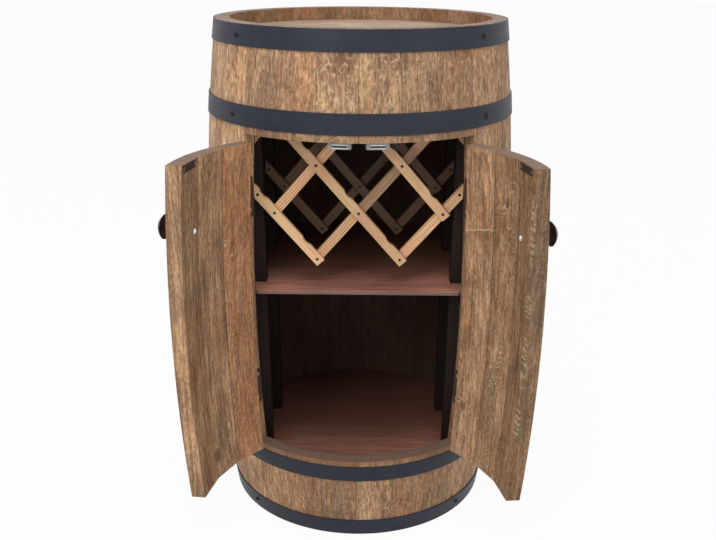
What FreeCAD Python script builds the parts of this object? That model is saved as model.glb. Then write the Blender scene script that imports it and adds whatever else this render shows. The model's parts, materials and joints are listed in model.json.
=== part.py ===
import FreeCAD, Part
import math
import os
import Sketcher

# Barrel bar cabinet: a standing wine barrel whose six front staves are cut through and
# hung as two doors.  Inside are a floor board, a shelf and a lattice rack for bottles.
#
# Frame: millimetres, origin on the floor on the barrel's axis, +Z up, the doors face -Y.
# An azimuth is an angle about +Z counted from the front (-Y) towards +X.
# The doors are stored open, turned about their hinge pins by left_open and right_open.

DRIVING_DIMENSIONS = (
    # barrel
    ("barrel_height", 800),
    ("belly_radius", 250),
    ("chime_radius", 222),
    ("stave_thickness", 22),
    ("stave_count", 24),
    ("stave_ease", 0.4),
    ("facet_allowance", 3),
    # heads
    ("head_thickness", 18),
    ("head_recess", 20),
    ("croze_radius", 208),
    ("head_play", 0.05),
    # doorway and doors
    ("door_stave_count", 3),
    ("doorway_half_turn", 43.25),
    ("doorway_low", 149),
    ("doorway_high", 653),
    ("door_low", 156),
    ("door_high", 647),
    ("free_edge_turn", 0.35),
    ("hinge_edge_turn", 0.8),
    ("pivot_radius", 253),
    ("left_open", 95),
    ("right_open", 95),
    # hoops
    ("hoop_thickness", 2),
    ("hoop_play", 0.05),
    ("chime_hoop_width", 29),
    ("lower_hoop_base", 112.5),
    ("lower_hoop_width", 27),
    ("upper_hoop_base", 663.5),
    ("upper_hoop_width", 29),
    ("floor_clearance", 0.5),
    # hinges
    ("hinge_low", 250),
    ("hinge_high", 560),
    ("hinge_length", 60),
    ("hinge_middle_knuckle", 19.6),
    ("hinge_knuckle_gap", 0.4),
    ("hinge_knuckle_radius", 4),
    ("hinge_bore_radius", 1.65),
    ("hinge_pin_radius", 1.6),
    ("hinge_leaf_thickness", 1.2),
    ("hinge_leaf_offset", 0.25),
    ("hinge_leaf_width", 20.4),
    ("hinge_leaf_start", 4.6),
    # boards and posts
    ("board_thickness", 10),
    ("floor_board_top", 95),
    ("floor_board_radius", 209),
    ("shelf_top", 411),
    ("shelf_thickness", 6),
    ("shelf_radius", 226.5),
    ("shelf_front", 165),
    ("ceiling_underside", 686),
    ("ceiling_radius", 211.5),
    ("post_width", 22),
    ("post_depth", 24),
    ("post_side", 145),
    ("post_front", 127),
    ("rear_post_front", 36),
    ("dowel_radius", 4),
    ("dowel_grip", 20),
    ("dowel_seat", 8),
    # lattice rack
    ("lattice_half_width", 63.7),
    ("lattice_half_height", 72.9),
    ("lattice_base", 454.8),
    ("lattice_side", 157),
    ("slat_width", 15),
    ("slat_thickness", 8),
    ("slat_overrun", 8),
    ("slat_ease", 0.7),
    ("neck_radius", 17),
    ("neck_bite", 2.5),
    ("neck_along", 33),
    # knobs
    ("left_knob_height", 550),
    ("right_knob_height", 544.5),
    ("knob_azimuth", 12.1),
    ("knob_radius", 17.5),
    ("knob_length", 31.5),
    ("knob_base_radius", 8),
    ("knob_neck_radius", 5.5),
    # door catches
    ("catch_width", 32),
    ("catch_depth", 14),
    ("catch_setback", 2),
    ("strike_height", 641),
    ("strike_length", 41),
    ("strike_width", 10.5),
    ("strike_thickness", 0.9),
)

doc = FreeCAD.newDocument("barrel_bar_cabinet")
sheet = doc.addObject("Spreadsheet::Sheet", "sizes")
for row, (alias, number) in enumerate(DRIVING_DIMENSIONS, start=1):
    sheet.set(f"A{row}", alias)
    sheet.set(f"B{row}", str(number))
    sheet.setAlias(f"B{row}", alias)
doc.recompute()

X_AXIS = FreeCAD.Vector(1, 0, 0)
Y_AXIS = FreeCAD.Vector(0, 1, 0)
Z_AXIS = FreeCAD.Vector(0, 0, 1)
NODES = []


# ---------------------------------------------------------------------------------------
# Sizes worked out from the sheet
# ---------------------------------------------------------------------------------------

# The barrel's bow is an arc through both chimes and the belly; its centre lies level with
# the belly on the far side of the axis.
RISE = "(sizes.belly_radius - sizes.chime_radius)"
BOW = f"(((sizes.barrel_height / 2)^2 + {RISE}^2) / (2 * {RISE}))"
BOW_CENTRE = f"(sizes.belly_radius - {BOW})"
MIDDLE = "(sizes.barrel_height / 2)"

# The staves of the doorway share its half turn; the whole staves share the rest.
FRONT_PITCH = "(sizes.doorway_half_turn / sizes.door_stave_count)"
SIDE_PITCH = (
    "((180 - sizes.doorway_half_turn) / (sizes.stave_count / 2 - sizes.door_stave_count))"
)


def value(expression):
    """The number that an expression over the sheet comes to."""
    result = sheet.evalExpression(expression)
    return float(getattr(result, "Value", result))


def wall_radius(height, depth=0.0):
    """Radius of the surface that lies depth inside the barrel's outside, at a height."""
    drop = height - value(MIDDLE)
    return value(BOW_CENTRE) + math.sqrt((value(BOW) - depth) ** 2 - drop ** 2)


def wall_tilt(height, depth=0.0):
    """Angle in degrees by which the wall's outward normal points above level."""
    return math.degrees(math.asin((height - value(MIDDLE)) / (value(BOW) - depth)))


# ---------------------------------------------------------------------------------------
# Placements
# ---------------------------------------------------------------------------------------

def turn(degrees, axis=Z_AXIS, centre=FreeCAD.Vector()):
    """Placement that turns about an axis through a centre."""
    return FreeCAD.Placement(FreeCAD.Vector(), FreeCAD.Rotation(axis, degrees), centre)


def shift(x, y, z):
    """Placement that only moves."""
    return FreeCAD.Placement(FreeCAD.Vector(x, y, z), FreeCAD.Rotation())


def facing(azimuth):
    """Turn that brings local +X to an azimuth counted from the front."""
    return turn(azimuth - 90)


def on_wall(azimuth, height, depth=0.0):
    """Frame on the wall: local +X leaves the barrel square to the wall, +Z goes up it."""
    out = shift(wall_radius(height, depth), 0, height)
    return facing(azimuth) * out * turn(-wall_tilt(height, depth), Y_AXIS)


def hinge_azimuth(side):
    """Azimuth of a door's hinge line; side is -1 for the left door and 1 for the right."""
    return side * value("sizes.doorway_half_turn - sizes.hinge_edge_turn / 2")


def hinge_line(side, height=0.0):
    """Frame on a hinge line: local +X points away from the barrel's axis."""
    return facing(hinge_azimuth(side)) * shift(value("sizes.pivot_radius"), 0, height)


def swing(side):
    """Turn about the hinge line that takes a closed door to its stored open place."""
    opening = value("sizes.right_open") if side > 0 else -value("sizes.left_open")
    return turn(opening, Z_AXIS, hinge_line(side).Base)


# ---------------------------------------------------------------------------------------
# Building blocks
# ---------------------------------------------------------------------------------------

def publish(piece, name):
    """Label a finished sub-part and list it for export."""
    piece.Label = name
    NODES.append(piece)
    return piece


def box(name, length, width, height, x="0", y="0", z="0"):
    """Box with its lowest corner at x, y, z; every size is an expression."""
    block = doc.addObject("Part::Box", name)
    block.setExpression("Length", length)
    block.setExpression("Width", width)
    block.setExpression("Height", height)
    block.setExpression("Placement.Base.x", x)
    block.setExpression("Placement.Base.y", y)
    block.setExpression("Placement.Base.z", z)
    return block


def cylinder(name, radius, height, place=None):
    """Cylinder that stands on its placement."""
    rod = doc.addObject("Part::Cylinder", name)
    rod.setExpression("Radius", radius)
    rod.setExpression("Height", height)
    rod.Placement = place or FreeCAD.Placement()
    return rod


def cut(name, base, tool, place=None):
    """Base less tool."""
    result = doc.addObject("Part::Cut", name)
    result.Base = base
    result.Tool = tool
    result.Placement = place or FreeCAD.Placement()
    return result


def fuse(name, *shapes):
    """Union of shapes that run into each other."""
    result = doc.addObject("Part::MultiFuse", name)
    result.Shapes = list(shapes)
    return result


def group(name, *shapes):
    """Separate solids kept side by side in one object."""
    result = doc.addObject("Part::Compound", name)
    result.Links = list(shapes)
    return result


def copies(name, master, places):
    """Linked copies of a master piece, one at each placement."""
    links = []
    for number, place in enumerate(places, start=1):
        link = doc.addObject("App::Link", f"{name}_{number}")
        link.LinkedObject = master
        link.LinkTransform = True
        link.Placement = place
        links.append(link)
    return group(name, *links)


def plane_sketch(body, name, role):
    """Empty sketch on one of the body's own origin planes."""
    sketch = body.newObject("Sketcher::SketchObject", name)
    plane = next(item for item in body.Origin.OriginFeatures if item.Role == role)
    sketch.AttachmentSupport = [(plane, "")]
    sketch.MapMode = "FlatFace"
    return sketch


def dimension(sketch, expression, *constraint):
    """Add a dimension to a sketch and bind it to the sheet."""
    index = sketch.addConstraint(Sketcher.Constraint(*constraint, value(expression)))
    sketch.setExpression(f"Constraints[{index}]", expression)


def bowed_band(sketch, outer, inner, low, high):
    """Closed band between two arcs of the barrel's bow, cut off level at low and high.

    outer and inner are the arcs' distances outside the barrel's surface.
    """
    centre = FreeCAD.Vector(value(BOW_CENTRE), value(MIDDLE), 0)
    arcs = []
    for offset in (outer, inner):
        radius = value(f"{BOW} + ({offset})")
        start = math.asin((value(low) - centre.y) / radius)
        end = math.asin((value(high) - centre.y) / radius)
        circle = Part.Circle(centre, Z_AXIS, radius)
        arcs.append(sketch.addGeometry(Part.ArcOfCircle(circle, start, end), False))
    first, second = arcs
    for end in (1, 2):
        line = Part.LineSegment(sketch.getPoint(first, end), sketch.getPoint(second, end))
        edge = sketch.addGeometry(line, False)
        sketch.addConstraint(Sketcher.Constraint("Coincident", edge, 1, first, end))
        sketch.addConstraint(Sketcher.Constraint("Coincident", edge, 2, second, end))
        sketch.addConstraint(Sketcher.Constraint("Horizontal", edge))
    sketch.addConstraint(Sketcher.Constraint("Coincident", first, 3, second, 3))
    dimension(sketch, f"{BOW} + ({outer})", "Radius", first)
    dimension(sketch, f"{BOW} + ({inner})", "Radius", second)
    dimension(sketch, BOW_CENTRE, "DistanceX", -1, 1, first, 3)
    dimension(sketch, MIDDLE, "DistanceY", -1, 1, first, 3)
    dimension(sketch, low, "DistanceY", -1, 1, first, 1)
    dimension(sketch, high, "DistanceY", -1, 1, first, 2)


def rectangle(sketch, left, right, low, high):
    """Closed rectangle whose four sides are expressions."""
    x0, x1, y0, y1 = (value(side) for side in (left, right, low, high))
    corners = [(x0, y0), (x1, y0), (x1, y1), (x0, y1)]
    points = [FreeCAD.Vector(x, y, 0) for x, y in corners]
    for index in range(4):
        line = Part.LineSegment(points[index], points[(index + 1) % 4])
        sketch.addGeometry(line, False)
    for index in range(4):
        following = (index + 1) % 4
        sketch.addConstraint(Sketcher.Constraint("Coincident", index, 2, following, 1))
        direction = "Horizontal" if index % 2 == 0 else "Vertical"
        sketch.addConstraint(Sketcher.Constraint(direction, index))
    dimension(sketch, left, "DistanceX", -1, 1, 0, 1)
    dimension(sketch, low, "DistanceY", -1, 1, 0, 1)
    dimension(sketch, right, "DistanceX", -1, 1, 1, 2)
    dimension(sketch, high, "DistanceY", -1, 1, 1, 2)


def must_shrink(feature, before):
    """Stop if a feature that should remove material removed none."""
    if feature.Shape.Volume >= before - 1:
        raise RuntimeError(f"{feature.Name} cuts nothing")


# ---------------------------------------------------------------------------------------
# Staves
# ---------------------------------------------------------------------------------------

TOP_CROZE = (
    "sizes.barrel_height - sizes.head_recess - sizes.head_thickness",
    "sizes.barrel_height - sizes.head_recess",
)
BOTTOM_CROZE = ("sizes.head_recess", "sizes.head_recess + sizes.head_thickness")


def front_middle(number):
    """Azimuth of a doorway stave's centre line: 1 to 3 on the right, 0 to -2 on the left."""
    return f"(({number} - 0.5) * {FRONT_PITCH})"


def whole_middle(position):
    """Azimuth of a whole stave's centre line, counted round from the right jamb."""
    return f"(sizes.doorway_half_turn + ({position} - 0.5) * {SIDE_PITCH})"


def stave(name, middle, pitch, low, high, crozes=(), trim_back="0", trim_on="0"):
    """One stave between two heights, pitch degrees wide about its middle azimuth.

    The outside is turned round, the inside is planed flat across, and a croze is a round
    groove that holds a head.  trim_back and trim_on narrow the stave by an angle on the
    side of the smaller and the greater azimuth.
    """
    body = doc.addObject("PartDesign::Body", name)

    profile = plane_sketch(body, f"{name}_profile", "XZ_Plane")
    inside = "-(sizes.stave_thickness + sizes.facet_allowance)"
    bowed_band(profile, "0", inside, low, high)
    turned = body.newObject("PartDesign::Revolution", f"{name}_turned")
    turned.Profile = profile
    turned.ReferenceAxis = (profile, ["V_Axis"])
    turned.Type = "TwoAngles"
    turned.setExpression("Angle", f"{pitch} / 2 - {trim_on}")
    turned.setExpression("Angle2", f"{pitch} / 2 - {trim_back}")
    doc.recompute()

    hollow = plane_sketch(body, f"{name}_hollow", "XZ_Plane")
    deeper = "-(sizes.stave_thickness + 4 * sizes.facet_allowance)"
    bowed_band(hollow, "-sizes.stave_thickness", deeper, f"{low} - 1", f"{high} + 1")
    planed = body.newObject("PartDesign::Pocket", f"{name}_planed")
    planed.Profile = hollow
    planed.Midplane = True
    planed.setExpression("Length", "4 * sizes.stave_thickness")
    doc.recompute()
    must_shrink(planed, turned.Shape.Volume)

    eased = body.newObject("PartDesign::Chamfer", f"{name}_eased")
    eased.Base = (planed, [])
    eased.UseAllEdges = True
    eased.setExpression("Size", "sizes.stave_ease")
    doc.recompute()

    for count, (groove_low, groove_high) in enumerate(crozes, start=1):
        before = body.Shape.Volume
        section = plane_sketch(body, f"{name}_croze_{count}", "XZ_Plane")
        inner = "sizes.croze_radius - sizes.stave_thickness"
        rectangle(section, inner, "sizes.croze_radius", groove_low, groove_high)
        croze = body.newObject("PartDesign::Groove", f"{name}_groove_{count}")
        croze.Profile = section
        croze.ReferenceAxis = (section, ["V_Axis"])
        croze.Angle = 360
        doc.recompute()
        must_shrink(croze, before)

    body.setExpression("Placement.Rotation.Angle", f"{middle} - 90")
    return body


DOOR_STAVES = int(value("sizes.door_stave_count"))
STAVE_COUNT = int(value("sizes.stave_count"))

full_staves = []
for position in range(1, STAVE_COUNT - 2 * DOOR_STAVES + 1):
    full_staves.append(
        stave(
            f"whole_stave_{position:02d}",
            whole_middle(position),
            SIDE_PITCH,
            "0",
            "sizes.barrel_height",
            (BOTTOM_CROZE, TOP_CROZE),
        )
    )

upper_short_staves = []
lower_short_staves = []
for number in range(1 - DOOR_STAVES, DOOR_STAVES + 1):
    tag = number + DOOR_STAVES
    place = (front_middle(number), FRONT_PITCH)
    above = ("sizes.doorway_high", "sizes.barrel_height", (TOP_CROZE,))
    below = ("0", "sizes.doorway_low", (BOTTOM_CROZE,))
    upper_short_staves.append(stave(f"upper_{tag}", *place, *above))
    lower_short_staves.append(stave(f"lower_{tag}", *place, *below))


def door_staves(side):
    """The staves of one door, closed, from the free edge to the hinge edge."""
    found = []
    for place in range(1, DOOR_STAVES + 1):
        number = place if side > 0 else 1 - place
        free = "sizes.free_edge_turn" if place == 1 else "0"
        hinged = "sizes.hinge_edge_turn" if place == DOOR_STAVES else "0"
        trims = (free, hinged) if side > 0 else (hinged, free)
        tag = "right" if side > 0 else "left"
        across = (front_middle(number), FRONT_PITCH)
        height = ("sizes.door_low", "sizes.door_high")
        found.append(stave(f"{tag}_leaf_{place}", *across, *height, (), *trims))
    return found


closed_door = {-1: door_staves(-1), 1: door_staves(1)}


# ---------------------------------------------------------------------------------------
# Fasteners.  A master screw lies along X: its seat is at x = 0, its shank goes to -X.
# ---------------------------------------------------------------------------------------

LYING = FreeCAD.Rotation(Y_AXIS, -90)


def lying(x):
    """Placement that lays a cylinder along -X from x."""
    return FreeCAD.Placement(FreeCAD.Vector(x, 0, 0), LYING)


def cross_recess(name, reach, floor, top):
    """Two crossed slots, cut from top down to floor, that take a cross-head driver."""
    arm = reach * 0.3
    across = box(f"{name}_slot_y", f"{top - floor}", f"{2 * reach}", f"{arm}",
                 f"{floor}", f"{-reach}", f"{-arm / 2}")
    upright = box(f"{name}_slot_z", f"{top - floor}", f"{arm}", f"{2 * reach}",
                  f"{floor}", f"{-arm / 2}", f"{-reach}")
    return fuse(f"{name}_cross", across, upright)


def dome_screw(name, head_radius, head_height, shank_radius, length, recess):
    """Screw with a domed head that stands on its seat."""
    ball_radius = (head_radius ** 2 + head_height ** 2) / (2 * head_height)
    ball = doc.addObject("Part::Sphere", f"{name}_ball")
    ball.Radius = ball_radius
    ball.Placement = shift(head_height - ball_radius, 0, 0)
    slab = box(f"{name}_slab", f"{head_height}", f"{2 * head_radius}", f"{2 * head_radius}",
               "0", f"{-head_radius}", f"{-head_radius}")
    head = doc.addObject("Part::Common", f"{name}_head")
    head.Base = ball
    head.Tool = slab
    shank = cylinder(f"{name}_shank", f"{shank_radius}", f"{length}", lying(0))
    whole = fuse(f"{name}_whole", head, shank)
    cross = cross_recess(name, recess, head_height * 0.45, head_height + 1)
    return cut(name, whole, cross)


def flat_screw(name, head_radius, head_depth, shank_radius, length, recess):
    """Screw with a countersunk head flush with its seat, and the plain form of its hole."""
    head = doc.addObject("Part::Cone", f"{name}_head")
    head.Radius1 = head_radius
    head.Radius2 = shank_radius
    head.Height = head_depth
    head.Placement = lying(0)
    shank = cylinder(f"{name}_shank", f"{shank_radius}", f"{length}", lying(0))
    whole = fuse(f"{name}_whole", head, shank)
    cross = cross_recess(name, recess, -head_depth * 0.5, 1)
    return cut(name, whole, cross), whole


HOOP_SCREW_AZIMUTHS = (50, 130, -130, -50)
HOOPS = {
    "bottom_hoop": ("sizes.floor_clearance", "sizes.chime_hoop_width"),
    "lower_hoop": ("sizes.lower_hoop_base", "sizes.lower_hoop_width"),
    "upper_hoop": ("sizes.upper_hoop_base", "sizes.upper_hoop_width"),
    "top_hoop": (
        "sizes.barrel_height - sizes.floor_clearance - sizes.chime_hoop_width",
        "sizes.chime_hoop_width",
    ),
}
HOOP_OUTSIDE = "sizes.hoop_play + sizes.hoop_thickness"

hoop_screw = dome_screw("hoop_screw", 5.0, 3.0, 1.8, 16, 2.2)
hoop_screw_places = []
for hoop_base, hoop_width in HOOPS.values():
    hoop_middle = value(f"{hoop_base} + {hoop_width} / 2")
    for azimuth in HOOP_SCREW_AZIMUTHS:
        hoop_screw_places.append(on_wall(azimuth, hoop_middle, -value(HOOP_OUTSIDE)))
hoop_screws = copies("all_hoop_screws", hoop_screw, hoop_screw_places)

# Two screws hold each hinge leaf to the edge of its stave.
HINGE_SCREW_DEPTH = 18
HINGE_SCREW_SPREAD = 20
hinge_screw, hinge_screw_hole = flat_screw("hinge_screw", 3.0, 1.2, 1.5, 17, 1.4)


def hinge_screw_places(side, toward_frame):
    """Places of the screws in one set of leaves, frame side or door side."""
    sense = side if toward_frame else -side
    offset = sense * value("sizes.hinge_leaf_offset")
    places = []
    for height in (value("sizes.hinge_low"), value("sizes.hinge_high")):
        for rise in (-HINGE_SCREW_SPREAD, HINGE_SCREW_SPREAD):
            seat = hinge_line(side, height + rise) * shift(-HINGE_SCREW_DEPTH, offset, 0)
            places.append(seat * turn(-90 * sense))
    return places


frame_screw_places = hinge_screw_places(-1, True) + hinge_screw_places(1, True)
frame_hinge_screws = copies("all_frame_hinge_screws", hinge_screw, frame_screw_places)
frame_hinge_holes = copies("all_frame_hinge_holes", hinge_screw_hole, frame_screw_places)

# The knob screw comes through the door from inside; its head sits in a shallow spot face.
knob_screw = dome_screw("knob_screw", 4.6, 2.8, 2.0, 35, 2.2)
strike_screw, strike_screw_hole = flat_screw("strike_screw", 2.6, 0.9, 1.2, 14, 1.2)
catch_screw = dome_screw("catch_screw", 3.0, 1.8, 1.4, 16, 1.5)
CATCH_EAR = 3.0
CATCH_PLAY = 0.05
CATCH_SCREW_SPREAD = 12.5
CATCH_SCREW_RISE = 6.5
STRIKE_SCREW_SPREAD = 17.5
SPOT_FACE_DEPTH = 0.6


def middle_azimuth(side):
    """Azimuth of the stave next to the centre line, where knob and catch sit."""
    return side * value(FRONT_PITCH) / 2


def knob_seat(side):
    """Frame on the outside of a closed door where the knob stands."""
    height = value("sizes.right_knob_height" if side > 0 else "sizes.left_knob_height")
    return on_wall(side * value("sizes.knob_azimuth"), height)


def strike_seat(side):
    """Frame on the inside of a closed door where the strike plate lies."""
    depth = value("sizes.stave_thickness")
    return on_wall(middle_azimuth(side), value("sizes.strike_height"), depth)


def catch_seat(side):
    """Frame on the inside of the short stave over a door, level with its lower end."""
    depth = value("sizes.stave_thickness")
    return on_wall(middle_azimuth(side), value("sizes.doorway_high"), depth)


def knob_screw_place(side):
    """The knob screw lies along the knob's axis and points outwards."""
    seat_depth = value("sizes.stave_thickness") - SPOT_FACE_DEPTH
    return knob_seat(side) * shift(-seat_depth, 0, 0) * turn(180)


def strike_screw_places(side):
    """Two screws at the ends of the strike plate, heads towards the barrel's axis."""
    face = -value("sizes.strike_thickness")
    ends = (-STRIKE_SCREW_SPREAD, STRIKE_SCREW_SPREAD)
    return [strike_seat(side) * shift(face, end, 0) * turn(180) for end in ends]


def catch_screw_places(side):
    """Two screws through the ears of a catch into the short stave."""
    ends = (-CATCH_SCREW_SPREAD, CATCH_SCREW_SPREAD)
    return [
        catch_seat(side) * shift(-CATCH_EAR, end, CATCH_SCREW_RISE) * turn(180) for end in ends
    ]


catch_screws = copies(
    "all_catch_screws", catch_screw, catch_screw_places(-1) + catch_screw_places(1)
)


def door_fasteners(name, side, knob_form, strike_form, hinge_form):
    """Knob, strike plate and hinge screws of one closed door, or the forms of their holes."""
    return (
        copies(f"{name}_knob", knob_form, [knob_screw_place(side)]),
        copies(f"{name}_strike", strike_form, strike_screw_places(side)),
        copies(f"{name}_hinge", hinge_form, hinge_screw_places(side, False)),
    )


# ---------------------------------------------------------------------------------------
# Publish the barrel: staves, hoops, heads
# ---------------------------------------------------------------------------------------

screw_holes = group("barrel_screw_holes", hoop_screws, frame_hinge_holes)
screwed_azimuths = {round(azimuth % 360) for azimuth in HOOP_SCREW_AZIMUTHS}
for position, body in enumerate(full_staves, start=1):
    middle = value(whole_middle(position))
    near = [abs(middle - azimuth) < value(SIDE_PITCH) / 2 for azimuth in screwed_azimuths]
    if any(near):
        body = cut(f"drilled_stave_{position:02d}", body, screw_holes)
    publish(body, f"stave_{position:02d}")

upper_row = group("upper_row", *upper_short_staves)
publish(cut("upper_row_drilled", upper_row, catch_screws), "upper_front_staves")
publish(group("lower_row", *lower_short_staves), "lower_front_staves")

for name, (hoop_base, hoop_width) in HOOPS.items():
    ring = doc.addObject("PartDesign::Body", f"{name}_ring")
    section = plane_sketch(ring, f"{name}_section", "XZ_Plane")
    bowed_band(section, HOOP_OUTSIDE, "sizes.hoop_play", hoop_base, f"{hoop_base} + {hoop_width}")
    rolled = ring.newObject("PartDesign::Revolution", f"{name}_rolled")
    rolled.Profile = section
    rolled.ReferenceAxis = (section, ["V_Axis"])
    rolled.Angle = 360
    publish(cut(f"{name}_punched", ring, hoop_screws), name)
publish(hoop_screws, "hoop_screws")

HEAD_PLANKS = 6
PLANK_GAP = 0.15


def head(name, base):
    """Round head made of parallel planks."""
    radius = "(sizes.croze_radius - sizes.head_play)"
    planks = []
    for index in range(HEAD_PLANKS):
        disc = cylinder(f"{name}_disc_{index}", radius, "sizes.head_thickness")
        disc.setExpression("Placement.Base.z", base)
        plank = f"(2 * {radius} / {HEAD_PLANKS})"
        strip = box(
            f"{name}_strip_{index}",
            f"2 * {radius}",
            f"{plank} - {PLANK_GAP}",
            "sizes.head_thickness",
            f"-{radius}",
            f"-{radius} + {index} * {plank} + {PLANK_GAP / 2}",
            base,
        )
        board = doc.addObject("Part::Common", f"{name}_plank_{index}")
        board.Base = disc
        board.Tool = strip
        planks.append(board)
    return publish(group(f"{name}_boards", *planks), name)


head("top_head", TOP_CROZE[0])
head("bottom_head", BOTTOM_CROZE[0])


# ---------------------------------------------------------------------------------------
# Boards, posts and dowels inside
# ---------------------------------------------------------------------------------------

POST_CENTRES = [
    (side, front)
    for side in (-1, 1)
    for front in ("-sizes.post_front", "sizes.rear_post_front")
]


def posts(name, base, top):
    """Four posts, a front and a rear one on each side."""
    found = []
    for index, (side, front) in enumerate(POST_CENTRES, start=1):
        left = "sizes.post_side" if side > 0 else "-sizes.post_side - sizes.post_width"
        found.append(
            box(f"{name}_{index}", "sizes.post_width", "sizes.post_depth",
                f"{top} - {base}", left, front, base)
        )
    return group(name, *found)


def dowels(name, base, length):
    """A dowel on the axis of each post."""
    found = []
    for index, (side, front) in enumerate(POST_CENTRES, start=1):
        rod = cylinder(f"{name}_{index}", "sizes.dowel_radius", length)
        reach = "(sizes.post_side + sizes.post_width / 2)"
        rod.setExpression("Placement.Base.x", f"{side} * {reach}")
        rod.setExpression("Placement.Base.y", f"{front} + sizes.post_depth / 2")
        rod.setExpression("Placement.Base.z", base)
        found.append(rod)
    return group(name, *found)


SHELF_UNDERSIDE = "(sizes.shelf_top - sizes.shelf_thickness)"
all_dowels = group(
    "dowel_set",
    dowels("floor_dowel", "sizes.floor_board_top - sizes.dowel_seat",
           "sizes.dowel_seat + sizes.dowel_grip"),
    dowels("shelf_dowel", f"{SHELF_UNDERSIDE} - sizes.dowel_grip",
           "sizes.shelf_thickness + 2 * sizes.dowel_grip"),
    dowels("ceiling_dowel", "sizes.ceiling_underside - sizes.dowel_grip",
           "sizes.dowel_seat + sizes.dowel_grip"),
)

floor_disc = cylinder("floor_disc", "sizes.floor_board_radius", "sizes.board_thickness")
floor_disc.setExpression("Placement.Base.z", "sizes.floor_board_top - sizes.board_thickness")
publish(cut("floor_disc_drilled", floor_disc, all_dowels), "floor_board")

ceiling_disc = cylinder("ceiling_disc", "sizes.ceiling_radius", "sizes.board_thickness")
ceiling_disc.setExpression("Placement.Base.z", "sizes.ceiling_underside")
publish(cut("ceiling_disc_drilled", ceiling_disc, all_dowels), "ceiling_board")


def shelf_board():
    """Round shelf with a straight front edge, every edge eased."""
    body = doc.addObject("PartDesign::Body", "shelf_body")
    outline = plane_sketch(body, "shelf_outline", "XY_Plane")
    radius = value("sizes.shelf_radius")
    front = -value("sizes.shelf_front")
    reach = math.sqrt(radius ** 2 - front ** 2)
    start = math.atan2(front, reach)
    end = math.pi - start
    circle = Part.Circle(FreeCAD.Vector(), Z_AXIS, radius)
    arc = outline.addGeometry(Part.ArcOfCircle(circle, start, end), False)
    corners = (FreeCAD.Vector(-reach, front, 0), FreeCAD.Vector(reach, front, 0))
    edge = outline.addGeometry(Part.LineSegment(*corners), False)
    outline.addConstraint(Sketcher.Constraint("Coincident", arc, 3, -1, 1))
    outline.addConstraint(Sketcher.Constraint("Coincident", edge, 1, arc, 2))
    outline.addConstraint(Sketcher.Constraint("Coincident", edge, 2, arc, 1))
    outline.addConstraint(Sketcher.Constraint("Horizontal", edge))
    dimension(outline, "sizes.shelf_radius", "Radius", arc)
    dimension(outline, "-sizes.shelf_front", "DistanceY", -1, 1, edge, 1)
    pad = body.newObject("PartDesign::Pad", "shelf_pad")
    pad.Profile = outline
    pad.setExpression("Length", "sizes.shelf_thickness")
    doc.recompute()
    eased = body.newObject("PartDesign::Chamfer", "shelf_eased")
    eased.Base = (pad, [])
    eased.UseAllEdges = True
    eased.setExpression("Size", "sizes.slat_ease")
    body.setExpression("Placement.Base.z", SHELF_UNDERSIDE)
    return body


publish(cut("shelf_drilled", shelf_board(), all_dowels), "middle_shelf")

FLOOR_BLOCK_REACH = 130
FLOOR_BLOCK_SIZE = 40
HEAD_TOP = BOTTOM_CROZE[1]
blocks = []
for index in range(4):
    block = box(
        f"floor_block_{index}",
        f"{FLOOR_BLOCK_SIZE}",
        f"{FLOOR_BLOCK_SIZE}",
        f"sizes.floor_board_top - sizes.board_thickness - ({HEAD_TOP})",
        f"{-FLOOR_BLOCK_SIZE / 2 + FLOOR_BLOCK_REACH * (1, 0, -1, 0)[index]}",
        f"{-FLOOR_BLOCK_SIZE / 2 + FLOOR_BLOCK_REACH * (0, 1, 0, -1)[index]}",
        HEAD_TOP,
    )
    blocks.append(block)
publish(group("floor_block_set", *blocks), "floor_blocks")


# ---------------------------------------------------------------------------------------
# Lattice racks.  Lattice places are counted in half cells: x from the middle, z from the
# lowest crossing.  Falling slats go down to the right; rising slats mirror them.
# ---------------------------------------------------------------------------------------

HALF_WIDTH = value("sizes.lattice_half_width")
HALF_HEIGHT = value("sizes.lattice_half_height")
SIDE_CELLS = value("sizes.lattice_side") / HALF_WIDTH
SLAT_ANGLE = math.degrees(math.atan2(HALF_HEIGHT, HALF_WIDTH))

# Each falling slat: its upper left and lower right end.  An end at SIDE_CELLS is cut off
# upright beside a post, the others run past their last crossing by slat_overrun.
FALLING_SLATS = (
    ((-SIDE_CELLS, SIDE_CELLS - 1), (-1, 0)),
    ((-2, 3), (1, 0)),
    ((0, 3), (2, 1)),
    ((2, 3), (SIDE_CELLS, 5 - SIDE_CELLS)),
)
CROSSINGS = (
    (-1, 0), (1, 0), (-2, 1), (0, 1), (2, 1), (-1, 2), (1, 2), (-2, 3), (0, 3), (2, 3)
)
NECK_PLACES = CROSSINGS[:7]
SIDE_SCREW_INSET = 5


def lattice_point(across, up):
    """Real x and z of a lattice place."""
    return across * HALF_WIDTH, value("sizes.lattice_base") + up * HALF_HEIGHT


def slat(name, start, end, front, mirror):
    """One slat from start to end, on edge, with its front face at y = front."""
    (x0, z0), (x1, z1) = lattice_point(*start), lattice_point(*end)
    length = math.hypot(x1 - x0, z1 - z0) + 2 * value("sizes.slat_overrun")
    strip = box(f"{name}_strip", f"{length}", "sizes.slat_thickness", "sizes.slat_width")
    eased = doc.addObject("Part::Chamfer", name)
    eased.Base = strip
    ease = value("sizes.slat_ease")
    doc.recompute()
    long_edges = [
        (index, ease, ease)
        for index, edge in enumerate(strip.Shape.Edges, start=1)
        if abs(edge.Length - length) < 1e-6
    ]
    eased.Edges = long_edges
    centred = shift(-length / 2, 0, -value("sizes.slat_width") / 2)
    middle = shift(mirror * (x0 + x1) / 2, front, (z0 + z1) / 2)
    eased.Placement = middle * turn(mirror * SLAT_ANGLE, Y_AXIS) * centred
    return eased


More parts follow.
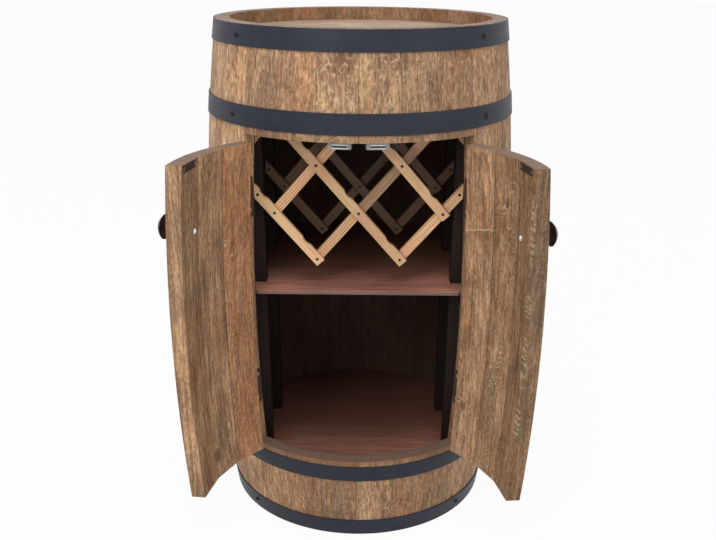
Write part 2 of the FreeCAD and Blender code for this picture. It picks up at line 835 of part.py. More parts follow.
def lattice_layer(name, front, mirror, holes, notches):
    """One layer of parallel slats, cut upright at the sides, notched and drilled."""
    slats = [
        slat(f"{name}_{index}", start, end, front, mirror)
        for index, (start, end) in enumerate(FALLING_SLATS, start=1)
    ]
    window = box(
        f"{name}_window",
        "2 * sizes.lattice_side",
        "sizes.slat_thickness + 2",
        "sizes.ceiling_underside - sizes.shelf_top",
        "-sizes.lattice_side",
        f"{front} - 1",
        "sizes.shelf_top",
    )
    trimmed = doc.addObject("Part::Common", f"{name}_trimmed")
    trimmed.Base = group(f"{name}_slats", *slats)
    trimmed.Tool = window
    layer = trimmed
    if notches:
        layer = cut(f"{name}_notched", layer, notches)
    return cut(f"{name}_drilled", layer, holes)


crossing_screw, crossing_screw_hole = flat_screw("crossing_screw", 2.3, 1.4, 1.2, 14.5, 1.1)
side_screw, side_screw_hole = flat_screw("side_screw", 2.3, 1.4, 1.2, 32, 1.1)
FRONTWARDS = turn(-90)


def rack_screw_set(name, front, crossing_form, side_form):
    """Screws of one rack, or the forms of their holes: one at each crossing and post."""
    crossings = []
    for place in CROSSINGS:
        x, z = lattice_point(*place)
        crossings.append(shift(x, front, z) * FRONTWARDS)
    ends = []
    for mirror in (1, -1):
        layer_front = front if mirror > 0 else front + value("sizes.slat_thickness")
        for up, edge in ((SIDE_CELLS - 1, -1), (5 - SIDE_CELLS, 1)):
            x, z = lattice_point(edge * SIDE_CELLS, up)
            inset = SIDE_SCREW_INSET * edge
            drop = SIDE_SCREW_INSET * edge * HALF_HEIGHT / HALF_WIDTH
            ends.append(shift(mirror * (x - inset), layer_front, z + drop) * FRONTWARDS)
    return group(
        name,
        copies(f"{name}_crossing", crossing_form, crossings),
        copies(f"{name}_side", side_form, ends),
    )


def neck_notches(name, front):
    """Rods where the bottle necks lie, sunk a little into the falling slats under them."""
    clear = value("sizes.slat_width / 2 + sizes.neck_radius - sizes.neck_bite")
    from_crossing = FreeCAD.Vector(-value("sizes.neck_along"), 0, clear)
    offset = turn(SLAT_ANGLE, Y_AXIS).multVec(from_crossing)
    rods = []
    for index, place in enumerate(NECK_PLACES, start=1):
        x, z = lattice_point(*place)
        start = FreeCAD.Vector(x, front - 1, z) + offset
        along_y = FreeCAD.Placement(start, FreeCAD.Rotation(X_AXIS, -90))
        length = "sizes.slat_thickness + 2"
        rods.append(cylinder(f"{name}_{index}", "sizes.neck_radius", length, along_y))
    return group(name, *rods)


LAYER = value("sizes.slat_thickness")
FRONT_RACK_Y = -value("sizes.post_front") - 2 * LAYER
REAR_RACK_Y = value("sizes.rear_post_front") - 2 * LAYER
SCREW_FORMS = (crossing_screw, side_screw)
HOLE_FORMS = (crossing_screw_hole, side_screw_hole)
all_rack_screws = group(
    "rack_screw_set",
    rack_screw_set("front_rack_screws", FRONT_RACK_Y, *SCREW_FORMS),
    rack_screw_set("rear_rack_screws", REAR_RACK_Y, *SCREW_FORMS),
)
front_rack_holes = rack_screw_set("front_rack_holes", FRONT_RACK_Y, *HOLE_FORMS)
rear_rack_holes = rack_screw_set("rear_rack_holes", REAR_RACK_Y, *HOLE_FORMS)
front_notches = neck_notches("front_notches", FRONT_RACK_Y)

publish(
    lattice_layer("front_falling", FRONT_RACK_Y, 1, front_rack_holes, front_notches),
    "front_rack_falling_slats",
)
publish(
    lattice_layer("front_rising", FRONT_RACK_Y + LAYER, -1, front_rack_holes, None),
    "front_rack_rising_slats",
)
publish(
    lattice_layer("rear_falling", REAR_RACK_Y, 1, rear_rack_holes, None),
    "rear_rack_falling_slats",
)
publish(
    lattice_layer("rear_rising", REAR_RACK_Y + LAYER, -1, rear_rack_holes, None),
    "rear_rack_rising_slats",
)
publish(all_rack_screws, "rack_screws")

shelf_posts = posts("lower_post", "sizes.floor_board_top", SHELF_UNDERSIDE)
publish(cut("lower_posts_drilled", shelf_posts, all_dowels), "shelf_posts")
rack_posts = posts("upper_post", "sizes.shelf_top", "sizes.ceiling_underside")
post_holes = group("rack_post_holes", all_dowels, front_rack_holes, rear_rack_holes)
publish(cut("upper_posts_drilled", rack_posts, post_holes), "rack_posts")
publish(all_dowels, "post_dowels")


# ---------------------------------------------------------------------------------------
# Hinges.  In a hinge's own frame +X leaves the barrel's axis and +Y goes to the right, so
# a leaf lies on the side of its sense, 1 or -1.
# ---------------------------------------------------------------------------------------

MIDDLE_KNUCKLE = "sizes.hinge_middle_knuckle"
OUTER_KNUCKLE = (
    "((sizes.hinge_length - sizes.hinge_middle_knuckle) / 2 - sizes.hinge_knuckle_gap)"
)
HALF_HINGE = "(sizes.hinge_length / 2)"


def hinge_leaf(name, sense, knuckles):
    """Leaf with its knuckles; knuckles is a list of (base, length) along the pin."""
    thickness = "sizes.hinge_leaf_thickness"
    near = "sizes.hinge_leaf_offset"
    low_y = near if sense > 0 else f"-{near} - {thickness}"
    plate = box(f"{name}_plate", "sizes.hinge_leaf_width", thickness, "sizes.hinge_length",
                "-sizes.hinge_leaf_start - sizes.hinge_leaf_width", low_y, f"-{HALF_HINGE}")
    shapes = [plate]
    for index, (base, length) in enumerate(knuckles, start=1):
        tab_length = "sizes.hinge_leaf_start - sizes.hinge_bore_radius - 0.5"
        tab = box(f"{name}_tab_{index}", tab_length, thickness, length,
                  "-sizes.hinge_leaf_start", low_y, base)
        knuckle = cylinder(f"{name}_knuckle_{index}", "sizes.hinge_knuckle_radius", length)
        knuckle.setExpression("Placement.Base.z", base)
        shapes += [tab, knuckle]
    bore = cylinder(f"{name}_bore", "sizes.hinge_bore_radius", "sizes.hinge_length + 2")
    bore.setExpression("Placement.Base.z", f"-{HALF_HINGE} - 1")
    return cut(name, fuse(f"{name}_rough", *shapes), bore)


FRAME_KNUCKLES = [
    (f"-{HALF_HINGE}", OUTER_KNUCKLE),
    (f"{HALF_HINGE} - {OUTER_KNUCKLE}", OUTER_KNUCKLE),
]
DOOR_KNUCKLES = [(f"-{MIDDLE_KNUCKLE} / 2", MIDDLE_KNUCKLE)]
HINGE_HEIGHTS = (value("sizes.hinge_low"), value("sizes.hinge_high"))


def hinge_places(side):
    """Frames of the low and the high hinge of one door."""
    return [hinge_line(side, height) for height in HINGE_HEIGHTS]


frame_leaves = []
for side in (-1, 1):
    master = hinge_leaf(f"frame_leaf_{side + 2}", side, FRAME_KNUCKLES)
    frame_leaves.append(copies(f"frame_leaves_{side + 2}", master, hinge_places(side)))
frame_leaf_set = group("frame_leaf_set", *frame_leaves)
publish(cut("frame_leaf_set_sunk", frame_leaf_set, frame_hinge_holes), "frame_hinge_leaves")
publish(frame_hinge_screws, "frame_hinge_screws")

PIN_HEAD_RADIUS = 3.0
PIN_HEAD_HEIGHT = 1.6
pin_shank = cylinder("pin_shank", "sizes.hinge_pin_radius", "sizes.hinge_length + 1")
pin_shank.setExpression("Placement.Base.z", f"-{HALF_HINGE} - 1")
pin_button = cylinder("pin_button", f"{PIN_HEAD_RADIUS}", f"{PIN_HEAD_HEIGHT}")
pin_button.setExpression("Placement.Base.z", HALF_HINGE)
hinge_pin = fuse("hinge_pin", pin_shank, pin_button)
all_pins = copies("hinge_pin_set", hinge_pin, hinge_places(-1) + hinge_places(1))
publish(all_pins, "hinge_pins")


# ---------------------------------------------------------------------------------------
# Magnetic catches on the short staves
# ---------------------------------------------------------------------------------------

CATCH_DROP = 13
CATCH_HEAD_HEIGHT = 12
MAGNET_LENGTH = 21
MAGNET_HEIGHT = 3.0
POLE_THICKNESS = 1.2
MAGNET_LIFT = 1
MAGNET_DEPTH = 9


def catch_housing():
    """Plastic housing: a block that faces the door and ears that are screwed on."""
    front = "sizes.catch_setback"
    block = box("catch_block", "sizes.catch_depth", "sizes.catch_width", f"{CATCH_DROP} - 0.5",
                f"-{front} - sizes.catch_depth", "-sizes.catch_width / 2", f"-{CATCH_DROP}")
    spine = box("catch_spine", f"sizes.catch_depth + {front} - {CATCH_EAR}",
                "sizes.catch_width / 2", f"{CATCH_HEAD_HEIGHT} + 0.5",
                f"-{front} - sizes.catch_depth", "-sizes.catch_width / 4", "-0.5")
    ears = box("catch_ears", f"{CATCH_EAR} - {CATCH_PLAY}", "sizes.catch_width",
               f"{CATCH_HEAD_HEIGHT} - 0.5", f"-{CATCH_EAR}", "-sizes.catch_width / 2", "0.5")
    foot = box("catch_foot", f"{CATCH_EAR} - {front}", "sizes.catch_width", "1.5",
               f"-{CATCH_EAR}", "-sizes.catch_width / 2", "-1")
    slot = box("catch_slot", f"{MAGNET_DEPTH} + 1", f"{MAGNET_LENGTH}",
               f"{MAGNET_HEIGHT + 2 * POLE_THICKNESS}", f"-{front} - {MAGNET_DEPTH}",
               f"{-MAGNET_LENGTH / 2}", f"-{CATCH_DROP} + {MAGNET_LIFT}")
    return cut("catch_housing", fuse("catch_rough", block, spine, ears, foot), slot)


def catch_insert(name, low, height):
    """Bar of the magnet stack that fills the slot from low over height."""
    return box(name, f"{MAGNET_DEPTH}", f"{MAGNET_LENGTH}", f"{height}",
               f"-sizes.catch_setback - {MAGNET_DEPTH}", f"{-MAGNET_LENGTH / 2}",
               f"-{CATCH_DROP} + {MAGNET_LIFT} + {low}")


catch_places = [catch_seat(-1), catch_seat(1)]
housings = copies("catch_housing_set", catch_housing(), catch_places)
publish(cut("catch_housing_drilled", housings, catch_screws), "catch_housings")
magnet = catch_insert("magnet", POLE_THICKNESS, MAGNET_HEIGHT)
publish(copies("magnet_set", magnet, catch_places), "catch_magnets")
pole_plates = group(
    "pole_plates",
    catch_insert("lower_pole", 0, POLE_THICKNESS),
    catch_insert("upper_pole", POLE_THICKNESS + MAGNET_HEIGHT, POLE_THICKNESS),
)
publish(copies("pole_plate_set", pole_plates, catch_places), "catch_pole_plates")
publish(catch_screws, "catch_screws")


# ---------------------------------------------------------------------------------------
# Door fittings
# ---------------------------------------------------------------------------------------

KNOB_NECK_HEIGHT = 14
KNOB_RIM_HEIGHT = 23
KNOB_FLARE_RADIUS = 14


def knob_master():
    """Turned mushroom knob along +X, standing on x = 0."""
    body = doc.addObject("PartDesign::Body", "knob_body")
    outline = plane_sketch(body, "knob_outline", "XY_Plane")
    corners = [
        ("0", "0"),
        ("0", "sizes.knob_base_radius"),
        (f"{KNOB_NECK_HEIGHT}", "sizes.knob_neck_radius"),
        (f"{KNOB_RIM_HEIGHT}", "sizes.knob_radius"),
        ("sizes.knob_length", "0"),
    ]
    points = [FreeCAD.Vector(value(x), value(y), 0) for x, y in corners]
    base = outline.addGeometry(Part.LineSegment(points[0], points[1]), False)
    stem = outline.addGeometry(Part.LineSegment(points[1], points[2]), False)
    flare = outline.addGeometry(sagged_arc(points[2], points[3], KNOB_FLARE_RADIUS, -1), False)
    rise = points[4].x - points[3].x
    crown_radius = (rise ** 2 + points[3].y ** 2) / (2 * rise)
    crown = outline.addGeometry(sagged_arc(points[3], points[4], crown_radius, 1), False)
    axis = outline.addGeometry(Part.LineSegment(points[4], points[0]), False)
    flare_ends = ordered_ends(outline, flare, points[2])
    crown_ends = ordered_ends(outline, crown, points[3])
    joints = [
        (base, 2, stem, 1),
        (stem, 2, flare, flare_ends[0]),
        (flare, flare_ends[1], crown, crown_ends[0]),
        (crown, crown_ends[1], axis, 1),
        (axis, 2, base, 1),
        (base, 1, -1, 1),
    ]
    for joint in joints:
        outline.addConstraint(Sketcher.Constraint("Coincident", *joint))
    outline.addConstraint(Sketcher.Constraint("Vertical", base))
    outline.addConstraint(Sketcher.Constraint("Horizontal", axis))
    dimension(outline, "sizes.knob_base_radius", "DistanceY", -1, 1, base, 2)
    dimension(outline, f"{KNOB_NECK_HEIGHT}", "DistanceX", -1, 1, stem, 2)
    dimension(outline, "sizes.knob_neck_radius", "DistanceY", -1, 1, stem, 2)
    dimension(outline, f"{KNOB_RIM_HEIGHT}", "DistanceX", -1, 1, crown, crown_ends[0])
    dimension(outline, "sizes.knob_radius", "DistanceY", -1, 1, crown, crown_ends[0])
    dimension(outline, "sizes.knob_length", "DistanceX", -1, 1, axis, 1)
    dimension(outline, f"{KNOB_FLARE_RADIUS}", "Radius", flare)
    outline.addConstraint(Sketcher.Constraint("PointOnObject", crown, 3, -1))
    turned = body.newObject("PartDesign::Revolution", "knob_turned")
    turned.Profile = outline
    turned.ReferenceAxis = (outline, ["H_Axis"])
    turned.Angle = 360
    return body


def sagged_arc(start, end, radius, bulge):
    """Arc between two points; bulge 1 bows it to the left of the way, -1 to the right."""
    along = end - start
    left = FreeCAD.Vector(-along.y, along.x, 0).normalize()
    half = along.Length / 2
    sag = radius - math.sqrt(radius ** 2 - half ** 2)
    return Part.Arc(start, start + along * 0.5 + left * (sag * bulge), end)


def ordered_ends(sketch, arc, start):
    """Which of an arc's end points, 1 or 2, is at start, followed by the other one."""
    at_first = (sketch.getPoint(arc, 1) - start).Length < 1e-6
    return (1, 2) if at_first else (2, 1)


def strike_plate(name):
    """Steel strike plate with raised ribs between its screws."""
    face = "-sizes.strike_thickness"
    plate = box(f"{name}_plate", f"sizes.strike_thickness - {CATCH_PLAY}", "sizes.strike_length",
                "sizes.strike_width", face, "-sizes.strike_length / 2", "-sizes.strike_width / 2")
    shapes = [plate]
    for index in (-1, 0, 1):
        height = f"{index} * sizes.strike_width / 4 - 0.5"
        rib = box(f"{name}_rib_{index + 2}", "0.5", "sizes.strike_length * 0.6", "1",
                  f"{face} - 0.3", "-sizes.strike_length * 0.3", height)
        shapes.append(rib)
    return fuse(name, *shapes)


knob = knob_master()
strike = strike_plate("strike")


def place_door(piece, side, name):
    """Swing a closed door's piece to its stored place and publish it."""
    piece.Placement = swing(side) * piece.Placement
    return publish(piece, name)


for side, tag in ((-1, "left"), (1, "right")):
    screws = door_fasteners(f"{tag}_screws", side, knob_screw, strike_screw, hinge_screw)
    hole_forms = (knob_screw, strike_screw_hole, hinge_screw_hole)
    knob_hole, strike_holes, hinge_holes = door_fasteners(f"{tag}_holes", side, *hole_forms)
    spot_face = cylinder(f"{tag}_spot_face", "5.4", "5")
    spot_face.Placement = knob_screw_place(side) * FreeCAD.Placement(
        FreeCAD.Vector(), FreeCAD.Rotation(Y_AXIS, 90)
    )
    fixings = group(f"{tag}_fixings", *screws)
    holes = group(f"{tag}_holes", knob_hole, strike_holes, hinge_holes, spot_face)
    free_stave, middle_stave, hinge_stave = closed_door[side]
    free_cut = cut(f"{tag}_free_drilled", free_stave, holes)
    hinge_cut = cut(f"{tag}_hinge_drilled", hinge_stave, holes)
    middle_copy = copies(f"{tag}_middle", middle_stave, [FreeCAD.Placement()])
    place_door(free_cut, side, f"{tag}_door_stave_1")
    place_door(middle_copy, side, f"{tag}_door_stave_2")
    place_door(hinge_cut, side, f"{tag}_door_stave_3")

    leaf = hinge_leaf(f"{tag}_door_leaf", -side, DOOR_KNUCKLES)
    leaves = copies(f"{tag}_door_leaves", leaf, hinge_places(side))
    place_door(cut(f"{tag}_leaves_sunk", leaves, hinge_holes), side, f"{tag}_door_hinge_leaves")
    knob_copy = copies(f"{tag}_knob_copy", knob, [knob_seat(side)])
    place_door(cut(f"{tag}_knob_bored", knob_copy, knob_hole), side, f"{tag}_knob")
    plate_copy = copies(f"{tag}_strike_copy", strike, [strike_seat(side)])
    plate_cut = cut(f"{tag}_strike_sunk", plate_copy, strike_holes)
    place_door(plate_cut, side, f"{tag}_strike_plate")
    place_door(fixings, side, f"{tag}_door_screws")


# ---------------------------------------------------------------------------------------
# Check and export
# ---------------------------------------------------------------------------------------

doc.recompute()
for item in doc.Objects:
    if "Invalid" in item.State or "Error" in item.State:
        raise RuntimeError(f"{item.Label} did not compute: {item.State}")
for node in NODES:
    if node.Shape.isNull() or not node.Shape.isValid() or not node.Shape.Solids:
        raise RuntimeError(f"{node.Label} has no valid solid")

os.makedirs("parts", exist_ok=True)
for node in NODES:
    node.Shape.exportStep(f"parts/{node.Label}.step")
hinge_lines = {name: hinge_line(side).Base for name, side in (("left", -1), ("right", 1))}
for name, point in hinge_lines.items():
    print(f"{name} hinge line at x {point.x:.3f}, y {point.y:.3f}")
print(f"{len(NODES)} sub-parts written")
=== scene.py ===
import json
import math
from collections import namedtuple
from functools import cache, partial, reduce
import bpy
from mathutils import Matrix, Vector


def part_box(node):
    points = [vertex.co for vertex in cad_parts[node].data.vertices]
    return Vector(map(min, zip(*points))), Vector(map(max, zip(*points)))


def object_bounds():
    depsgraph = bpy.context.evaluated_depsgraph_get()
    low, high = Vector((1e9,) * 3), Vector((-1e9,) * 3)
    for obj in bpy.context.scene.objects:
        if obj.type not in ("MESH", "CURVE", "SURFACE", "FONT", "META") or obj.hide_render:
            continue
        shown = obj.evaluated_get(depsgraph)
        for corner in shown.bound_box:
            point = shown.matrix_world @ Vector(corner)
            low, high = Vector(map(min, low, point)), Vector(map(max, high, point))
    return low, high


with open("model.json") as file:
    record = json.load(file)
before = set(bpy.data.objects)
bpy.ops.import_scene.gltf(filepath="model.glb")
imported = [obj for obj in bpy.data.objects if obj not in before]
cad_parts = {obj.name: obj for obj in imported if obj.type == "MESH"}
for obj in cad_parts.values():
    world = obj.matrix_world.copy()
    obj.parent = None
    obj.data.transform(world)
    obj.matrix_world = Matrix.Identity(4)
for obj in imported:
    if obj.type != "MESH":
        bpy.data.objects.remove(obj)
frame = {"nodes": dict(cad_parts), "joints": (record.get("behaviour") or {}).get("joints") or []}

from types import SimpleNamespace

import bpy
from bpy.props import FloatProperty, FloatVectorProperty, IntProperty, PointerProperty
from mathutils import Matrix, Vector

bl_info = {
    "name": "Barrel Bar Cabinet",
    "version": (1, 0, 0),
    "blender": (4, 5, 0),
    "location": "View3D > Sidebar > Barrel",
    "description": "Finishes an oak barrel bar cabinet: stained staves, lacquered hoops, "
                   "a pine bottle rack and its fittings",
    "category": "Object",
}

CAD_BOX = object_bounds()
PICTURE_WIDTH = 716
PICTURE_HEIGHT = 540

NODES = frame["nodes"]
JOINTS = {joint["child"]: joint for joint in frame["joints"]}
BARREL_HEIGHT = CAD_BOX[1][2]
HEAD_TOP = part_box("top_head")[1].z
BELLY_RADIUS = 0.25
# The outer radius shrinks by BOW times the square of the height above or below the belly.
BOW = 0.175
SEAM_WIDTH = 0.0015
# The inner face's mask starts and is full at these distances before the wall's thickness.
INNER_START = 0.0045
INNER_FULL = 0.003


# --- Settings that a user would change ---

def colour(name, description, default):
    """A colour setting in linear light."""
    return FloatVectorProperty(
        name=name, description=description, default=default, subtype="COLOR", min=0, max=1
    )


def length(name, description, default):
    """A length setting in metres."""
    return FloatProperty(name=name, description=description, default=default, unit="LENGTH")


def angle(name, description, degrees):
    """An angle setting, given in degrees."""
    return FloatProperty(
        name=name, description=description, default=math.radians(degrees), subtype="ANGLE"
    )


def share(name, description, default):
    """A plain number setting."""
    return FloatProperty(name=name, description=description, default=default)


def count(name, description, default):
    """A whole number setting."""
    return IntProperty(name=name, description=description, default=default)


class OakSettings(bpy.types.PropertyGroup):
    """Colours and scale of the stained oak"""

    light: colour("Light wood", "Early wood of a pale stave", (0.62, 0.385, 0.215))
    dark: colour("Dark wood", "Late wood and streaks", (0.195, 0.105, 0.056))
    warm: colour("Warm tint", "Orange heart wood", (0.47, 0.180, 0.074))
    grey: colour("Grey tint", "Weathered wood", (0.215, 0.132, 0.092))
    ray: colour("Ray flecks", "Shiny medullary rays", (0.64, 0.49, 0.31))
    pore: colour("Pores", "Open pores filled with stain", (0.070, 0.038, 0.022))
    inside: colour("Inside stain", "Inner face of the barrel", (0.045, 0.024, 0.016))
    rim: colour("Sawn ends", "End grain of the staves", (0.25, 0.208, 0.175))
    ring_spacing: length("Ring spacing", "Width of one growth ring", 0.0045)
    side_staves: count("Whole staves", "From a jamb to the middle of the back", 9)
    door_staves: count("Door staves", "Staves in one door", 3)
    doorway: angle("Doorway", "Half the angle of the doorway", 43.25)
    wall: length("Stave thickness", "Thickness of the staves", 0.022)


class SteelSettings(bpy.types.PropertyGroup):
    """Colours of the metal pieces"""

    hoop: colour("Hoop lacquer", "Blue black", (0.0148, 0.0172, 0.0280))
    hinge: colour("Hinge lacquer", "Brown", (0.060, 0.036, 0.024))
    browned: colour("Browned steel", "Screws of the racks", (0.020, 0.016, 0.014))
    worn: colour("Worn steel", "Bare steel on worn edges", (0.20, 0.19, 0.19))
    black: colour("Black lacquer", "Domed screws", (0.004, 0.004, 0.005))
    zinc: colour("Zinc", "Bright plated screws", (0.66, 0.66, 0.63))
    patina: colour("Patina", "Dark strike plates", (0.15, 0.13, 0.115))


class JoinerySettings(bpy.types.PropertyGroup):
    """Colours of the boards, the rack and the small fittings"""

    board: colour("Board stain", "Reddish brown", (0.43, 0.195, 0.135))
    # Also the colour of the painted shade towards the back of the boards.
    board_grain_and_shade: colour("Board grain", "Darkest stain of the boards", (0.11, 0.046, 0.033))
    board_edge: colour("Board edge", "Bare front edges of the boards", (0.14, 0.112, 0.095))
    post: colour("Post stain", "Nearly black", (0.024, 0.014, 0.011))
    post_dark: colour("Post grain", "Darkest stain of the posts", (0.014, 0.009, 0.007))
    pine: colour("Pine", "Pale wood of the slats", (0.74, 0.49, 0.265))
    pine_ring: colour("Pine rings", "Reddish growth lines", (0.38, 0.150, 0.065))
    pine_blush: colour("Pine blush", "Pinkish heart wood", (0.80, 0.46, 0.29))
    # Painted shade: the colour laid over the rear rack's pine, which lies in shadow deep in the
    # barrel.
    rear_rack_shade: colour("Rack stain", "Lightest stain of the rear rack", (0.10, 0.055, 0.035))
    beech: colour("Beech", "Dowels", (0.60, 0.42, 0.26))
    beech_dark: colour("Beech grain", "Growth lines", (0.42, 0.27, 0.15))
    plastic: colour("Catch housing", "Light grey plastic", (0.40, 0.40, 0.39))
    magnet: colour("Magnet", "Sintered magnet", (0.035, 0.035, 0.038))
    knob: colour("Knob lacquer", "Dark brown", (0.020, 0.010, 0.007))


class StageSettings(bpy.types.PropertyGroup):
    """Camera, lamps and floor"""

    camera_distance: length("Camera distance", "From the barrel's axis", 1.4548)
    camera_height: length("Camera height", "Above the floor", 0.9032)
    camera_pitch: angle("Camera pitch", "Downward tilt", 24.03)
    camera_turn: angle("Camera turn", "Azimuth of the camera from the front", 0.415)
    camera_roll: angle("Camera roll", "Lean of the camera to the left", 0.406)
    focal: share("Focal length", "In picture widths", 892.9 / PICTURE_WIDTH)
    centre_x: share("Centre x", "Column that the lens axis meets, in pixels", 358.45)
    centre_y: share("Centre y", "Row that the lens axis meets, in pixels", 340.3)
    floor: colour("Floor", "Pale studio floor", (0.86, 0.86, 0.86))
    sky: share("Sky", "Strength of the surrounding light", 0.62)
    key: share("Key lamp", "Power in watts", 23.0)
    fill: share("Fill lamp", "Power in watts", 8.0)
    top: share("Top lamp", "Power in watts", 14.0)


# --- Node wiring ---

class Wiring:
    """Adds nodes to a tree; an input is a number, a vector, a colour or a socket."""

    def __init__(self, tree):
        self.tree = tree

    def add(self, kind, inputs=(), **settings):
        """New node with its settings made and its inputs fed, in order or by name."""
        node = self.tree.nodes.new(kind)
        for name, setting in settings.items():
            setattr(node, name, setting)
        self.feed_all(node.inputs, inputs)
        return node

    def feed(self, socket, source):
        """Link a socket to a socket, or set its value."""
        if isinstance(source, bpy.types.NodeSocket):
            self.tree.links.new(source, socket)
        elif socket.type == "RGBA" and len(source) == 3:
            socket.default_value = (*source, 1)
        else:
            socket.default_value = source

    def feed_all(self, sockets, sources):
        """Feed several sockets, in order or by name."""
        pairs = sources.items() if isinstance(sources, dict) else enumerate(sources)
        for key, source in pairs:
            self.feed(sockets[key], source)

    def single(self, value):
        """A tuple of values stands for their product."""
        return self.product(*value) if isinstance(value, tuple) else value

    def math(self, operation, *values, clamp=False):
        """One math step."""
        values = [self.single(item) for item in values]
        node = self.add("ShaderNodeMath", values, operation=operation, use_clamp=clamp)
        return node.outputs[0]

    def product(self, *values):
        """All values multiplied."""
        return reduce(partial(self.math, "MULTIPLY"), values)

    def total(self, *values):
        """All values added."""
        return reduce(partial(self.math, "ADD"), values)

    def less(self, first, second):
        """First minus second."""
        return self.math("SUBTRACT", first, second)

    def divided(self, first, second):
        """First divided by second."""
        return self.math("DIVIDE", first, second)

    def absolute(self, value):
        """Value without its sign."""
        return self.math("ABSOLUTE", value)

    def larger(self, first, second, clamp=False):
        """The larger of two values."""
        return self.math("MAXIMUM", first, second, clamp=clamp)

    def squares(self, first, second):
        """Sum of the squares of two values."""
        return self.total((first, first), (second, second))

    def ramp(self, source, start, end, low=0.0, high=1.0):
        """Smooth step of a value from start to end."""
        inputs = (source, start, end, low, high)
        return self.add("ShaderNodeMapRange", inputs, interpolation_type="SMOOTHSTEP").outputs[0]

    def mix(self, factor, first, second):
        """Blend of two colours."""
        inputs = {0: self.single(factor), 6: first, 7: second}
        return self.add("ShaderNodeMix", inputs, data_type="RGBA").outputs[2]

    def scaled(self, vector, factor):
        """Vector or colour times a number."""
        inputs = {"Vector": vector, "Scale": factor}
        return self.add("ShaderNodeVectorMath", inputs, operation="SCALE").outputs["Vector"]

    def rotated(self, vector, axis, turn, centre=(0, 0, 0)):
        """Vector turned about an axis through a point."""
        inputs = {"Vector": vector, "Center": centre, "Angle": turn}
        return self.add("ShaderNodeVectorRotate", inputs, rotation_type=f"{axis}_AXIS").outputs[0]

    def stretched(self, vector, scale):
        """Vector whose three numbers are each multiplied by their own."""
        return self.add("ShaderNodeMapping", {"Vector": vector, "Scale": scale}).outputs[0]

    def vector(self, x, y, z):
        """Vector from three numbers."""
        return self.add("ShaderNodeCombineXYZ", (x, y, z)).outputs[0]

    def parts(self, vector):
        """The three numbers of a vector."""
        return self.add("ShaderNodeSeparateXYZ", (vector,)).outputs

    def noise(self, vector, scale=1.0, detail=2.0, roughness=0.5, distortion=0.0):
        """Noise from 0 to 1 about 0.5."""
        return self.add("ShaderNodeTexNoise", {
            "Vector": vector, "Scale": scale, "Detail": detail,
            "Roughness": roughness, "Distortion": distortion,
        }).outputs[0]

    def dice(self, value, salt):
        """Random number from 0 to 1 that is the same for the same value."""
        vector = self.vector(value, salt, 0.5)
        return self.add("ShaderNodeTexWhiteNoise", {"Vector": vector}).outputs["Value"]

    def group(self, tree, inputs):
        """Outputs of a new instance of a node group."""
        return self.add("ShaderNodeGroup", node_tree=tree, inputs=inputs).outputs


def start_group(name, inputs):
    """New node group; returns its wiring and its input sockets.

    inputs holds the default of each input: a number, a colour, or None for a vector.
    """
    tree = bpy.data.node_groups.new(name, "ShaderNodeTree")
    for label, default in inputs.items():
        plain = isinstance(default, float)
        kind = "Vector" if default is None else "Float" if plain else "Color"
        socket = tree.interface.new_socket(label, in_out="INPUT", socket_type=f"NodeSocket{kind}")
        if default is not None:
            socket.default_value = default if plain else (*default, 1)
    wires = Wiring(tree)
    return wires, wires.add("NodeGroupInput").outputs


def finish_group(wires, outputs):
    """Give a node group its outputs, each a colour or a number, and return it."""
    for label in outputs:
        kind = "Color" if label == "Color" else "Float"
        wires.tree.interface.new_socket(label, in_out="OUTPUT", socket_type=f"NodeSocket{kind}")
    wires.add("NodeGroupOutput", outputs)
    return wires.tree


# --- Node groups ---

IN_STAVE = ("Across", "Up", "Deep", "Seed", "Lean")
IN_STAVE_DEFAULTS = dict(zip(IN_STAVE, (0.0, 0.0, 0.0, 0.0, 0.07)))


def barrel_place_group(settings):
    """Where a point lies in its stave, which stave, and masks of its seams and inner face."""
    wires, given = start_group("Barrel place", {"Vector": None})
    x, y, z = wires.parts(given["Vector"])
    front_pitch = settings.doorway / settings.door_staves
    side_pitch = (math.pi - settings.doorway) / settings.side_staves
    azimuth = wires.math("ARCTAN2", x, (y, -1))
    turned = wires.absolute(azimuth)
    in_doorway = wires.math("MINIMUM", turned, settings.doorway)
    beyond = wires.larger(wires.less(turned, settings.doorway), 0.0)
    steps = wires.total((in_doorway, 1 / front_pitch), (beyond, 1 / side_pitch))
    half_round = settings.door_staves + settings.side_staves
    counted = wires.total((steps, wires.math("SIGN", azimuth)), half_round)
    stave = wires.math("FLOOR", counted)
    centred = wires.less(wires.less(counted, stave), 0.5)
    radius = wires.math("SQRT", wires.squares(x, y))
    outside = wires.math("GREATER_THAN", turned, settings.doorway)
    pitch = wires.total(front_pitch, (outside, side_pitch - front_pitch))
    width = wires.product(radius, pitch)
    to_seam = wires.product(wires.less(0.5, wires.absolute(centred)), width)
    # The wall's inner radius follows the barrel's bow.
    bow = wires.less(z, BARREL_HEIGHT / 2)
    sunk = wires.less(wires.less(BELLY_RADIUS, (bow, bow, BOW)), radius)
    return finish_group(wires, {
        "Across": wires.product(centred, width),
        "Up": z,
        "Radius": radius,
        "Stave": stave,
        "Seam": wires.ramp(to_seam, SEAM_WIDTH, 0.0),
        "Inner": wires.ramp(sunk, settings.wall - INNER_START, settings.wall - INNER_FULL),
    })


# Knot cells in a metre, across and along the grain, and the share of cells with a knot.
KNOTS_ACROSS = 13.0
KNOTS_UP = 6.5
KNOT_SHARE = 0.30
# Least distance from a stave to the heart of its tree, how much it varies, and sideways.
HEART_NEAR = 0.012
HEART_SPREAD = 0.05
HEART_SHIFT = 0.035
CURL_CONTOURS = 13.0


